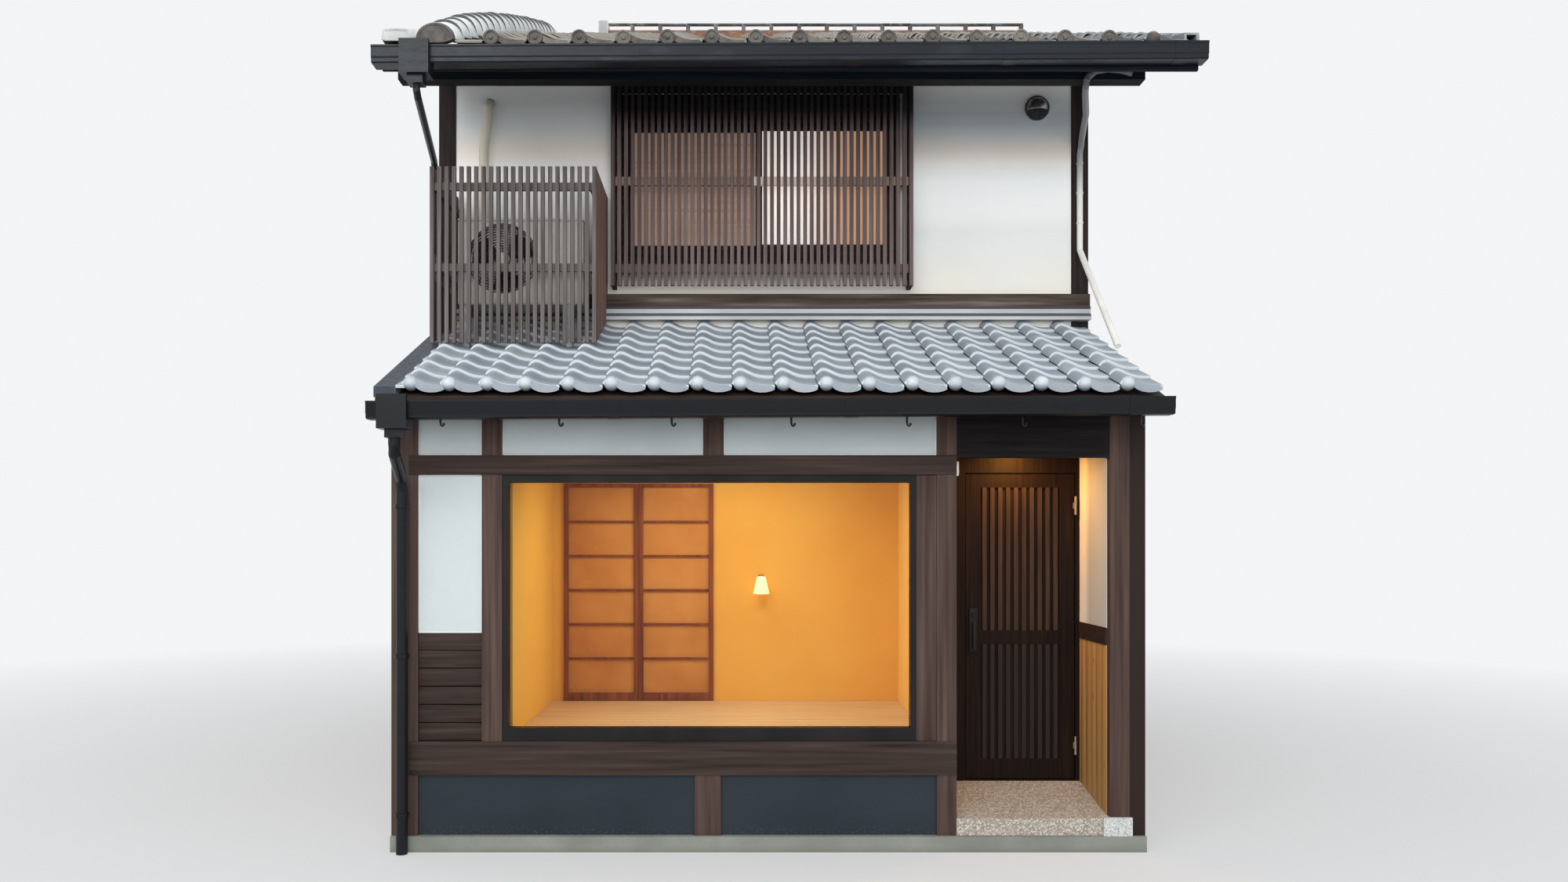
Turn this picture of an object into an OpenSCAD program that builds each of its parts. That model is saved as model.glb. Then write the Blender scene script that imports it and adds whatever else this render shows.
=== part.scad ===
// Machiya townhouse: a narrow two-storey timber row house between two party walls.
// X runs along the street front, Y runs back from the street, Z is up.
// The origin is the middle of the foundation's underside.

/* [House] */
// Width over both party walls
house_w = 4610; // [4560:10:4700]
// Depth of the upper storey, from its front face to the rear face
upper_depth = 5630; // [5200:10:6200]
// How far the upper front stands back from the ground-floor front
setback = 1186; // [1140:2:1260]
// Thickness of each party wall
party_t = 120; // [100:1:135]
// Depth of the timber frame in the ground-floor front
front_t = 120; // [110:1:140]
// Thickness of the rear wall
rear_t = 120; // [90:1:150]

/* [Levels] */
// Height of the concrete foundation
slab_h = 96; // [80:1:110]
// How far the foundation shows in front of the wall
slab_out = 30; // [20:1:45]
// Level of the floor inside the entrance
floor_z = 305; // [295:1:320]
// Underside of the sill beam
sill_z = 465; // [440:1:500]
// Height of the sill beam
sill_h = 206; // [180:1:230]
// Level of the display room's wooden floor
display_z = 690; // [680:1:745]
// Thickness of the display room's wooden floor
display_t = 60; // [40:1:80]
// Underside of the header beam
header_z = 2302; // [2250:1:2320]
// Height of the header beam
header_h = 119; // [100:1:140]
// Height of the plaster frieze
frieze_h = 240; // [230:1:260]
// Underside of the ceilings on the ground floor
ceiling_z = 2500; // [2480:1:2520]
// Thickness of the ceiling boards
ceiling_t = 30; // [12:1:30]
// Level of the upper floor
upper_floor_z = 3080; // [3000:1:3130]
// Thickness of the upper floor
upper_floor_t = 100; // [60:1:120]

/* [Front bays] */
// Width of the left end post
end_post_w = 109; // [100:1:115]
// Width of the strip post beside it
strip_w = 53; // [45:1:60]
// Width of the plaster bay
bay_w = 391; // [360:1:410]
// Width of the post left of the window
post_w = 124; // [110:1:135]
// Width of the post between window and entrance
porch_post_w = 120; // [110:1:130]
// Clear width of the entrance recess
porch_w = 937; // [925:1:950]
// Width of the corner post right of the entrance
corner_post_w = 132; // [120:1:140]
// Width of the short frieze post
frieze_post_w = 125; // [110:1:140]
// Left end of the window bay to the short frieze post
frieze_post_x = 1230; // [1100:1:1300]
// Width of the post in the middle of the base
base_post_w = 160; // [140:1:180]
// Left end of the window bay to the base post
base_post_x = 1178; // [1100:1:1250]
// How far plaster and base panels lie behind the posts
panel_in = 18; // [10:1:25]
// Thickness of plaster and base panels
panel_t = 70; // [50:1:80]
// Height of the board dado in the plaster bay, with its rail
bay_dado_h = 662; // [600:1:700]
// Height of the rail on top of the board dado
bay_rail_h = 105; // [90:1:120]
// How far a rail stands in front of its boards
rail_proud = 8; // [4:1:12]

/* [Show window] */
// Width of the board between window and entrance post
side_board_w = 125; // [110:1:140]
// Width of the frame's side bars
frame_side = 36; // [30:1:45]
// Height of the frame's top bar
frame_top = 48; // [40:1:60]
// Height of the frame's bottom bar
frame_bottom = 82; // [60:1:90]
// Depth of the window frame
frame_d = 70; // [60:1:80]
// How far the window frame lies behind the posts
frame_in = 8; // [4:1:15]
// Thickness of the glass
glass_t = 12; // [8:1:16]
// Distance from the frame's front to the glass
glass_in = 30; // [20:1:36]

/* [Display room] */
// Inner depth of the room, from the house front to the back wall
room_depth = 1746; // [1650:1:1800]
// Thickness of the room's walls
room_wall_t = 60; // [50:1:80]
// Distance from the left party wall to the room's left wall
closet_w = 540; // [530:1:590]
// Gap between two walls that meet
wall_gap = 0.5; // [0.3:0.1:0.8]
// Width of one paper screen
shoji_w = 564; // [540:1:590]
// Height of the paper screens
shoji_h = 1640; // [1600:1:1740]
// Thickness of a paper screen
shoji_t = 30; // [24:1:36]
// Width of a screen's frame bars
shoji_bar = 30; // [24:1:36]
// Room corner to the first screen
shoji_x = 91; // [30:1:120]
// Radius of the wall lamp's shade
lamp_r = 62; // [50:1:75]
// Height of the wall lamp's shade
lamp_h = 140; // [120:1:160]
// Level of the shade's lower rim
lamp_z = 1500; // [1400:1:1600]
// Screens' right edge to the lamp
lamp_x = 360; // [320:1:400]

/* [Entrance] */
// Distance from the house front to the door's face
porch_depth = 636; // [610:1:700]
// Width of the door leaf
door_w = 720; // [700:1:730]
// Height of the door leaf
door_h = 2022; // [1980:1:2040]
// Thickness of the door's stiles and rails
door_t = 40; // [36:1:45]
// Gap round the door leaf
door_gap = 5; // [5:0.5:7]
// Width of the frame bar on the hinge side
jamb_w = 28; // [24:1:34]
// Width of the frame bar on the handle side
latch_jamb_w = 60; // [50:1:70]
// Depth of the door frame
door_frame_d = 90; // [80:1:110]
// How far the frame stands in front of the door leaf
door_frame_out = 10; // [6:1:14]
// Height of the threshold
threshold_h = 11; // [8:1:16]
// Width of the stop behind the leaf
stop_w = 14; // [12:1:20]
// Width of the door's stiles
stile_w = 98; // [90:1:110]
// Height of the door's top rail
top_rail_h = 92; // [80:1:110]
// Height of the door's middle rail
mid_rail_h = 94; // [80:1:110]
// Height of the door's bottom rail
bottom_rail_h = 130; // [110:1:150]
// Height of the lower slat field
lower_field_h = 758; // [700:1:800]
// Thickness of the board behind the slats
door_board_t = 14; // [10:1:18]
// Number of slats across the door
door_slats_n = 10; // [8:1:12]
// Width of a door slat
door_slat_w = 28; // [20:1:30]
// Depth of a door slat
door_slat_d = 14; // [10:1:18]
// Depth of the lining's rebate in the corner post
lining_in = 54; // [45:1:65]
// How far the lining stands in front of the corner post's side
lining_out = 5; // [3:1:8]
// Height of the lining's rail
lining_rail_h = 107; // [95:1:120]
// Underside of the lining's rail
lining_rail_z = 1255; // [1200:1:1300]
// Underside of the board over the entrance
porch_head_z = 2407; // [2390:1:2440]
// Level of the entrance ramp at the street
ramp_z = 200; // [180:1:220]
// Height of the stone under the corner post
stone_h = 112; // [100:1:120]
// How far the stone stands in front of the house
stone_out = 25; // [15:1:28]
// How far the stone reaches into the entrance
stone_side = 43; // [30:1:50]

/* [Door furniture] */
// Radius of a hinge barrel
hinge_r = 8; // [7:0.5:9]
// Radius of a hinge pin
pin_r = 4; // [3:0.5:5]
// Radial clearance of the pin in its barrel
pin_gap = 0.1; // [0.06:0.02:0.1]
// Length of each of a hinge's three barrels
barrel_h = 40; // [30:1:45]
// Gap between two barrels
barrel_gap = 0.5; // [0.4:0.1:0.8]
// Width of a hinge leaf
hinge_leaf_w = 8; // [7:1:20]
// Thickness of a hinge leaf
hinge_leaf_t = 3; // [2:0.5:4]
// Door's foot to the middle of the lower hinge
low_hinge_z = 220; // [180:1:260]
// Door's foot to the middle of the upper hinge
high_hinge_z = 1810; // [1760:1:1850]
// Width of the lock plate
lock_w = 56; // [48:1:62]
// Height of the lock plate
lock_h = 290; // [260:1:310]
// Thickness of the lock plate
lock_t = 12; // [9:1:15]
// Door's foot to the lock plate's lower edge
lock_z = 838; // [800:1:870]
// How far the grip stands out from the plate
grip_out = 42; // [34:1:48]
// Width of the grip
grip_w = 24; // [18:1:28]

/* [Lower roof] */
// How far the tiles reach out from the house front
lower_eave_out = 365; // [340:1:390]
// Level of the tile surface at the eave
lower_eave_z = 2794; // [2785:1:2805]
// Rise of the lower roof for each unit of run
lower_pitch = 0.4; // [0.38:0.01:0.42]
// Distance from column to column on the lower roof
lower_tile_w = 250.6; // [249:0.1:252]
// The same distance in the narrower columns at the left end
narrow_tile_w = 222.4; // [218:0.2:226]
// Number of the narrower columns
narrow_cols = 3; // [2:1:4]
// Left end of the tiles to the middle of the first roll
lower_roll_x = 87; // [76:1:95]
// Height of a tile's roll over its trough
roll_h = 45; // [35:1:50]
// Half width of a tile's roll
roll_w = 58; // [50:1:62]
// Height of the tile layer over the boards
tile_t = 62; // [55:1:66]
// Gap under and beside the tile layers
tile_gap = 0.3; // [0.2:0.1:0.5]
// Thickness of the roof boards
deck_t = 30; // [24:1:36]
// Height of a rafter
rafter_h = 60; // [50:1:70]
// Width of a rafter
rafter_w = 45; // [36:1:55]
// Number of rafters
rafters_n = 15; // [12:1:17]
// Distance from the tile edge back to the fascia board
fascia_in = 30; // [24:1:36]
// Thickness of the fascia board
fascia_t = 25; // [20:1:30]
// Height of the fascia board
fascia_h = 110; // [100:1:115]
// Width of the metal strip along the left edge
verge_w = 126; // [110:1:140]

/* [Upper storey] */
// Height of the weathered beam over the lower roof
upper_beam_h = 92; // [80:1:100]
// Lower roof's surface to the weathered beam
beam_lift = 136; // [130:1:150]
// How far the weathered beam stands out from the wall
beam_out = 45; // [35:1:55]
// Height of the metal flashing
flashing_h = 95; // [85:1:98]
// How far the flashing stands out from the wall
flashing_out = 75; // [65:1:85]
// Thickness of the upper front wall
upper_wall_t = 92; // [80:1:100]
// How far the plaster lies behind the posts
plaster_in = 8; // [5:1:12]
// Left wall face to the window casing
casing_x = 1285; // [1270:1:1300]
// Width of the window casing
casing_w = 1980; // [1960:1:2000]
// Underside of the window casing
casing_z = 3800; // [3780:1:3820]
// Height of the window casing
casing_h = 1270; // [1250:1:1290]
// Width of the casing's side bars
casing_side = 38; // [32:1:44]
// Height of the casing's bottom board
casing_bottom = 162; // [150:1:170]
// Height of the sliding sashes
sash_h = 899; // [880:1:910]
// Thickness of a sash
sash_t = 30; // [26:1:33]
// Width of a sash's bars
sash_bar = 45; // [36:1:52]
// Overlap of the two sashes
sash_lap = 50; // [40:1:60]

/* [Window lattice] */
// How far the lattice stands out from the wall
lattice_out = 150; // [135:1:165]
// Distance from slat to slat
lattice_pitch = 46; // [44:0.5:50]
// Width of a lattice slat
lattice_slat = 26; // [22:1:30]
// Depth of a lattice slat
lattice_d = 30; // [24:1:34]
// Level of the slats' lower ends
lattice_z = 3680; // [3675:1:3700]
// Length of the slats
lattice_h = 1419; // [1400:1:1430]
// Height of the lattice's rails
lattice_rail_h = 60; // [50:1:76]
// Depth of the lattice's rails
lattice_rail_d = 25; // [20:1:30]
// Thickness of the lattice's side boards
cheek_t = 30; // [24:1:34]

/* [Unit cage] */
// Left wall face to the cage
cage_x = 116; // [112:1:120]
// Width of the cage
cage_w = 1083; // [1060:1:1095]
// Depth of the cage
cage_d = 720; // [690:1:740]
// Level of the cage's top
cage_top = 4333; // [4280:1:4360]
// Distance from slat to slat in the cage
cage_pitch = 48; // [46:1:52]
// Width of a cage slat
cage_slat = 26; // [24:1:32]
// Depth of a cage slat
cage_slat_d = 22; // [18:1:24]
// Height of the cage's rails
cage_rail_h = 50; // [40:1:60]
// Depth of the cage's rails
cage_rail_d = 24; // [20:1:30]
// Gap between the cage and the tiles
cage_lift = 6; // [4:1:12]

/* [Outdoor unit] */
// Width of the casing
unit_w = 830; // [800:1:850]
// Depth of the casing
unit_d = 290; // [270:1:310]
// Height of the casing
unit_h = 571; // [560:1:600]
// Cage's middle to the unit's middle
unit_x = 25.5; // [20:0.5:32]
// Level of the casing's underside
unit_z = 3460; // [3450:1:3480]
// Distance from the wall to the back of the casing
unit_back = 296; // [280:1:310]
// Radius of the fan opening
fan_r = 227; // [210:1:235]
// Casing's left side to the fan's middle
fan_x = 296; // [285:1:305]
// Depth of the fan opening
fan_depth = 60; // [40:1:80]
// Size of the stand's bars
stand_bar = 40; // [32:1:45]

/* [Wall fittings] */
// Radius of the round vent
vent_r = 86; // [80:1:92]
// Left wall face to the vent's middle
vent_x = 4246; // [4200:1:4280]
// Level of the vent's middle
vent_z = 4968; // [4930:1:5000]
// Thickness of the vent's rim
vent_rim = 22; // [16:1:26]
// Radius of the beige pipe cover
cover_r = 32; // [22:1:34]
// Left wall face to the pipe cover
cover_x = 356; // [340:1:370]
// Level of the pipe cover's bend
cover_z = 4995; // [4960:1:5020]
// Radius of the service conduit
conduit_r = 21; // [18:1:22]
// Level where the conduit leaves the post again
conduit_z = 3957; // [3900:1:4000]
// House front to the place where the conduit passes over the roof tiles
conduit_foot = 430; // [400:1:460]

/* [Upper roof] */
// How far the tiles reach out from the upper wall
upper_eave_out = 1456; // [1420:1:1480]
// Level of the tile surface at the upper eave
upper_eave_z = 4840; // [4830:1:4850]
// Rise of the upper roof for each unit of run
upper_pitch = 0.42; // [0.41:0.005:0.43]
// How far the roof stays in from the left outer face
verge_left = 15; // [10:1:25]
// How far the roof reaches beyond the right outer face
verge_right = 232; // [200:1:250]
// Width of the flat tiles along the left edge
verge_tile_w = 200; // [180:1:215]
// Height of the edge tiles' raised rim over the tile trough
verge_edge_h = 75; // [60:1:90]
// Radius of the half-round tile column along the left edge
verge_roll_r = 122; // [110:1:130]
// Height of that column over the tile trough
verge_roll_h = 150; // [130:1:160]
// Distance from column to column
upper_tile_w = 260; // [258:1:262]
// Right outer face to the first roll
first_roll_x = 664; // [655:1:675]
// Distance from the upper wall to the middle of the eave beam
eave_beam_out = 986; // [950:1:1020]
// Width of the eave beam
eave_beam_w = 110; // [100:1:125]
// Height of the eave beam
eave_beam_h = 111; // [100:1:120]
// Height and width of the arms that carry the eave beam
eave_arm = 90; // [80:1:100]
// How far the eave beam sticks out on the right
eave_beam_end = 50; // [40:1:60]
// Width of the ridge
ridge_w = 240; // [220:1:260]
// Height of the ridge over the tile surface
ridge_h = 150; // [130:1:170]
// How far the ridge stays in from the roof's left end
ridge_left = 840; // [780:5:900]
// How far the ridge stays in from the roof's right end
ridge_right = 20; // [10:1:60]

/* [Gutters] */
// Width of a gutter
gutter_w = 125; // [115:1:130]
// Height of a gutter
gutter_h = 100; // [90:1:105]
// Thickness of a gutter's walls
gutter_t = 6; // [5:0.5:8]
// Tile surface at the eave down to the lower gutter's rim
lower_gutter_drop = 81; // [76:1:90]
// Tile surface at the eave down to the upper gutter's rim
upper_gutter_drop = 56; // [52:1:60]
// How far a gutter passes the end of its fascia
gutter_over = 20; // [14:1:24]
// Width of the rain hopper
hopper_w = 172; // [160:1:180]
// Height of the hopper's box
hopper_h = 72; // [60:1:90]
// Thickness of the hopper's front plate
hopper_lip = 26; // [20:1:30]
// How far the front plate stands over the gutter's rim
hopper_rise = 25; // [15:1:30]
// Left outer face to the lower hopper
lower_hopper_x = 50; // [45:1:60]
// Left outer face to the upper hopper
upper_hopper_x = 153; // [145:1:160]
// Radius of the lower downpipe
lower_pipe_r = 35; // [32:1:37]
// Radius of the upper downpipe
upper_pipe_r = 22; // [18:1:23]

/* [Rear wall] */
// Width of the rear windows
rear_win_w = 1800; // [1600:1:2000]
// Level of the lower rear window
rear_win_z = 1100; // [1000:1:1200]
// Height of the lower rear window
rear_win_h = 1202; // [1100:1:1202]
// How far the rear beams stand out
rear_beam_out = 12; // [8:1:20]

/* [Hidden] */
house_d = setback + upper_depth;
x_left = -house_w / 2;
x_right = house_w / 2;
x_in_left = x_left + party_t;
x_in_right = x_right - party_t;
y_front = -house_d / 2;
y_upper = y_front + setback;
y_rear = house_d / 2;
y_ridge = (y_upper + y_rear) / 2;

sill_top = sill_z + sill_h;
frieze_z = header_z + header_h;
plate_z = frieze_z + frieze_h;

x_strip = x_left + end_post_w;
x_bay = x_strip + strip_w;
x_post = x_bay + bay_w;
x_win = x_post + post_w;
x_end = x_right - (party_t - 35);
x_corner = x_end - corner_post_w;
x_porch = x_corner - porch_w;
x_porch_post = x_porch - porch_post_w;
x_board = x_porch_post - side_board_w;
x_frieze = x_win + frieze_post_x;
x_base = x_win + base_post_x;

y_room = y_front + room_depth;
x_room = x_in_left + closet_w + room_wall_t;

x_lining = x_corner - lining_out;
y_door = y_front + porch_depth;
y_frame = y_door - door_frame_out;
x_door_right = x_lining - jamb_w - door_gap;
x_door_left = x_door_right - door_w;
door_z = floor_z + threshold_h + door_gap;
door_top = door_z + door_h;
mid_rail_z = door_z + bottom_rail_h + lower_field_h;
hinge_x = x_door_right + door_gap / 2;
hinge_y = y_frame - hinge_leaf_t - hinge_r;

y_lower_eave = y_front - lower_eave_out;
y_upper_eave = y_upper - upper_eave_out;
y_rear_eave = 2 * y_ridge - y_upper_eave;
x_roof_left = x_left + verge_left;
x_roof_right = x_right + verge_right;
x_tiles = x_left + verge_w;
x_lower_roll = x_tiles + lower_roll_x;
lower_cols = 1 + narrow_cols + floor((x_right - roll_w - lower_roll(narrow_cols)) / lower_tile_w);
x_verge_roll = x_roof_left + verge_tile_w + verge_roll_r;
x_first_roll = x_left + first_roll_x;
x_conduit = x_right - party_t / 2 - 6;
upper_cols = 1 + floor((x_roof_right - verge_tile_w / 2 - x_first_roll) / upper_tile_w);

function lower_roll(i) = x_lower_roll + min(i, narrow_cols) * narrow_tile_w
    + max(i - narrow_cols, 0) * lower_tile_w;
function lower_top(y) = lower_eave_z + lower_pitch * (y - y_lower_eave);
function lower_deck(y) = lower_top(y) - tile_t;
function lower_under(y) = lower_deck(y) - deck_t;
function upper_run(y) = y < y_ridge ? y - y_upper_eave : y_rear_eave - y;
function upper_top(y) = upper_eave_z + upper_pitch * upper_run(y);
function upper_deck(y) = upper_top(y) - tile_t;
function upper_under(y) = upper_deck(y) - deck_t;

beam_z = lower_top(y_upper) + beam_lift;
beam_top = beam_z + upper_beam_h;
post_base_z = lower_under(y_upper);
x_casing = x_left + casing_x;
x_lattice = x_casing - cheek_t - 20;
lattice_w = casing_w + 2 * cheek_t + 71;
x_cage = x_left + cage_x;
y_cage = y_upper - cage_d;
x_unit = x_cage + (cage_w - unit_w) / 2 + unit_x;
y_unit = y_upper - unit_back - unit_d;
y_beam = y_upper - eave_beam_out;
eave_beam_z = upper_under(y_beam) - rafter_h - eave_beam_h;
sash_z = casing_z + casing_bottom;
z_lower_gutter = lower_eave_z - lower_gutter_drop;
z_upper_gutter = upper_eave_z - upper_gutter_drop;
sash_w = (casing_w - 2 * casing_side + sash_lap) / 2;

// A box between two corners
module block(x0, x1, y0, y1, z0, z1) {
    translate([x0, y0, z0]) cube([x1 - x0, y1 - y0, z1 - z0]);
}

// A side profile of [y, z] points, carried along X
module along_x(x0, x1, points) {
    translate([x0, 0, 0]) rotate([90, 0, 90]) linear_extrude(height = x1 - x0) polygon(points);
}

// A round tube of n sides swept along a list of points
function unit(v) = v / norm(v);
function tangent(p, i) = unit(p[min(i + 1, len(p) - 1)] - p[max(i - 1, 0)]);
function side_of(t) = unit(cross(t, [1, 1, -1]));
function ring(c, t, r, n) = let (u = side_of(t), v = cross(t, u))
    [for (k = [0:n - 1]) c + r * (cos(360 * k / n) * u + sin(360 * k / n) * v)];
module swept_pipe(p, r, n = 12) {
    rings = len(p);
    points = [for (i = [0:rings - 1]) each ring(p[i], tangent(p, i), r, n)];
    sides = [for (i = [0:rings - 2], k = [0:n - 1])
        [i * n + k, i * n + (k + 1) % n, (i + 1) * n + (k + 1) % n, (i + 1) * n + k]];
    first = [for (k = [n - 1:-1:0]) k];
    last = [for (k = [0:n - 1]) (rings - 1) * n + k];
    polyhedron(points = points, faces = concat(sides, [first, last]));
}

// Foundation: the concrete slab that the whole house stands on
module foundation() {
    color("darkgray") block(x_left, x_right, y_front - slab_out, y_rear, 0, slab_h);
}

// Ground floor: concrete floors beside, behind and right of the display room
module ground_floor() {
    y_back = y_room + room_wall_t + wall_gap;
    color("gray") {
        block(x_in_left, x_porch_post, y_front + front_t, y_back, slab_h, floor_z);
        difference() {
            block(x_porch, x_in_right, y_frame, y_back, slab_h, floor_z);
            block(x_lining, x_in_right + 1, y_frame - 1, y_frame + door_frame_d, slab_h - 1, floor_z + 1);
        }
        block(x_in_left, x_in_right, y_back + wall_gap, y_rear - rear_t, slab_h, floor_z);
    }
}

// Entrance ramp: pebble-washed floor rising from the street to the door
module porch_floor() {
    color("lightgray") difference() {
        along_x(x_porch, x_lining, [
            [y_front, slab_h], [y_frame, slab_h], [y_frame, floor_z], [y_front, ramp_z]
        ]);
        block(x_corner - stone_side, x_corner, y_front - 1, y_front + lining_in,
            slab_h - 1, ramp_z + stone_h);
    }
}

// Party wall: one plain slab whose top follows both roofs
module party_wall(x0, y_start) {
    along_x(x0, x0 + party_t, [
        [y_start, slab_h], [y_rear, slab_h], [y_rear, upper_under(y_rear)],
        [y_ridge, upper_under(y_ridge)],
        [y_upper + front_t, upper_under(y_upper + front_t)],
        [y_upper + front_t, post_base_z], [y_upper, post_base_z],
        [y_start, lower_under(y_start)]
    ]);
}
module party_wall_left() {
    color("tan") party_wall(x_left, y_front + front_t);
}
module party_wall_right() {
    color("tan") party_wall(x_in_right, y_front + front_t);
}

// Rear wall: plaster between the party walls, with a window in each storey
module rear_window_hole(z, h) {
    block(-rear_win_w / 2, rear_win_w / 2, y_rear - rear_t - 1, y_rear + 1, z, z + h);
}
module rear_wall() {
    y0 = y_rear - rear_t;
    color("white") difference() {
        along_x(x_in_left, x_in_right, [
            [y0, slab_h], [y_rear, slab_h], [y_rear, upper_under(y_rear) - rafter_h],
            [y0, upper_under(y0) - rafter_h]
        ]);
        rear_window_hole(rear_win_z, rear_win_h);
        rear_window_hole(sash_z, sash_h);
    }
}

// Rear beams: sill, header and storey beam, laid on the plaster
module rear_beams() {
    y1 = y_rear + rear_beam_out;
    color("saddlebrown") {
        block(x_in_left, x_in_right, y_rear, y1, sill_z, sill_top);
        block(x_in_left, x_in_right, y_rear, y1, header_z, frieze_z);
        block(x_in_left, x_in_right, y_rear, y1, beam_z, beam_top);
    }
}

// A sliding sash: four bars round a thin board
module sash(x0, w, y0, z0, h) {
    difference() {
        block(x0, x0 + w, y0, y0 + sash_t, z0, z0 + h);
        for (y = [y0 - 1, y0 + sash_t * 2 / 3])
            block(x0 + sash_bar, x0 + w - sash_bar, y, y + sash_t / 3 + 1,
                z0 + sash_bar, z0 + h - sash_bar);
    }
}

// Rear windows: a pair of sashes in each storey
module rear_windows() {
    w = rear_win_w / 2;
    y0 = y_rear - rear_t / 2;
    color("sienna") {
        sash(-w, w, y0, rear_win_z, rear_win_h);
        sash(0, w, y0, rear_win_z, rear_win_h);
        sash(-w, w, y0, sash_z, sash_h);
        sash(0, w, y0, sash_z, sash_h);
    }
}

// Front posts: every upright of the ground-floor front, cut between the beams
module front_post(x0, w, z0, z1) {
    block(x0, x0 + w, y_front, y_front + front_t, z0, z1);
}
module front_posts() {
    color("saddlebrown") {
        front_post(x_left, end_post_w, slab_h, plate_z);
        front_post(x_strip + wall_gap, strip_w - wall_gap, slab_h, sill_z);
        front_post(x_strip + wall_gap, strip_w - wall_gap, sill_top, header_z);
        front_post(x_strip + wall_gap, strip_w - wall_gap, frieze_z, plate_z);
        front_post(x_post, post_w, sill_top, header_z);
        front_post(x_post, post_w, frieze_z, plate_z);
        front_post(x_frieze, frieze_post_w, frieze_z, plate_z);
        front_post(x_base, base_post_w, slab_h, sill_z);
        front_post(x_porch_post, porch_post_w, slab_h, sill_z);
        front_post(x_porch_post, porch_post_w, sill_top, header_z);
        front_post(x_porch_post, porch_post_w, frieze_z, plate_z);
        difference() {
            front_post(x_corner, corner_post_w, slab_h + stone_h, plate_z);
            block(x_corner - 1, x_in_right, y_front + lining_in, y_front + front_t + 1,
                slab_h, plate_z + 1);
        }
        front_post(x_end + wall_gap, x_right - x_end - wall_gap, slab_h, plate_z);
    }
}

// Front beams: sill beam, header beam and the plate under the rafters
module front_beams() {
    color("saddlebrown") {
        block(x_strip, x_porch, y_front - rail_proud, y_front + front_t, sill_z, sill_top);
        block(x_strip, x_porch, y_front - rail_proud, y_front + front_t, header_z, frieze_z);
        along_x(x_left, x_right, [
            [y_front, plate_z], [y_front + front_t, plate_z],
            [y_front + front_t, lower_under(y_front + front_t) - rafter_h],
            [y_front, lower_under(y_front) - rafter_h]
        ]);
    }
}

// Plaster panels: the bay, the frieze and the upper part of the entrance lining
module front_panel(x0, x1, z0, z1) {
    block(x0, x1, y_front + panel_in, y_front + panel_in + panel_t, z0, z1);
}
module plaster_panels() {
    color("white") {
        front_panel(x_bay, x_post, sill_top + bay_dado_h, header_z);
        front_panel(x_bay, x_post, frieze_z, plate_z);
        front_panel(x_win, x_frieze, frieze_z, plate_z);
        front_panel(x_frieze + frieze_post_w, x_porch_post, frieze_z, plate_z);
        block(x_lining, x_in_right, y_front + lining_in, y_frame + door_frame_d,
            lining_rail_z + lining_rail_h, ceiling_z + ceiling_t);
    }
}

// Bay boards: the board dado with its rail, and the board right of the window
module bay_boards() {
    dado_top = sill_top + bay_dado_h;
    color("saddlebrown") {
        front_panel(x_bay, x_post, sill_top, dado_top);
        block(x_bay, x_post, y_front + panel_in - rail_proud, y_front + panel_in + 1,
            dado_top - bay_rail_h, dado_top);
        block(x_board, x_porch_post, y_front + frame_in, y_front + front_t, sill_top, header_z);
    }
}

// Base panels: dark boards between the foundation and the sill beam
module base_panels() {
    color("darkslategray") {
        front_panel(x_bay, x_base, slab_h, sill_z);
        front_panel(x_base + base_post_w, x_porch_post, slab_h, sill_z);
    }
}

// Window frame: four dark metal bars round the big pane
module window_frame() {
    y0 = y_front + frame_in;
    color("black") difference() {
        block(x_win, x_board, y0, y0 + frame_d, sill_top, header_z);
        block(x_win + frame_side, x_board - frame_side, y0 - 1, y0 + frame_d + 1,
            sill_top + frame_bottom, header_z - frame_top);
    }
}

// Window glass: one pane that fills the frame
module window_glass() {
    y0 = y_front + frame_in + glass_in;
    color("lightblue") block(x_win + frame_side, x_board - frame_side, y0, y0 + glass_t,
        sill_top + frame_bottom, header_z - frame_top);
}

// Display floor: the raised wooden floor behind the window
module display_floor() {
    color("burlywood") block(x_room, x_porch_post, y_front + front_t, y_room,
        display_z - display_t, display_z);
}

// Room walls: left wall, back wall and the wall beside the entrance
module room_walls() {
    top = ceiling_z + ceiling_t;
    color("orange") {
        block(x_room - room_wall_t, x_room, y_front + front_t, y_room, floor_z, top);
        block(x_room - room_wall_t, x_porch_post - wall_gap, y_room + wall_gap,
            y_room + room_wall_t, floor_z, upper_floor_z - upper_floor_t);
        block(x_porch_post, x_porch, y_front + front_t, y_room + room_wall_t, slab_h, top);
    }
}

// Ceilings: boards over the display room and over the entrance
module ceilings() {
    color("peru") {
        block(x_room, x_porch_post, y_front + front_t, y_room, ceiling_z, ceiling_z + ceiling_t);
        block(x_porch, x_lining, y_front + lining_in, y_frame, ceiling_z, ceiling_z + ceiling_t);
    }
}

// Paper screens: two sliding screens that stand before the back wall
module shoji_screen(x0) {
    y0 = y_room - shoji_t;
    rows = 6;
    cell = (shoji_h - 2 * shoji_bar) / rows;
    difference() {
        block(x0, x0 + shoji_w, y0, y_room, display_z, display_z + shoji_h);
        for (i = [0:rows - 1])
            block(x0 + shoji_bar, x0 + shoji_w - shoji_bar, y0 - 1, y0 + shoji_t / 2,
                display_z + shoji_bar + i * cell + 4, display_z + shoji_bar + (i + 1) * cell - 4);
    }
}
module shoji_screens() {
    color("wheat") {
        shoji_screen(x_room + shoji_x);
        shoji_screen(x_room + shoji_x + shoji_w + wall_gap);
    }
}

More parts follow.
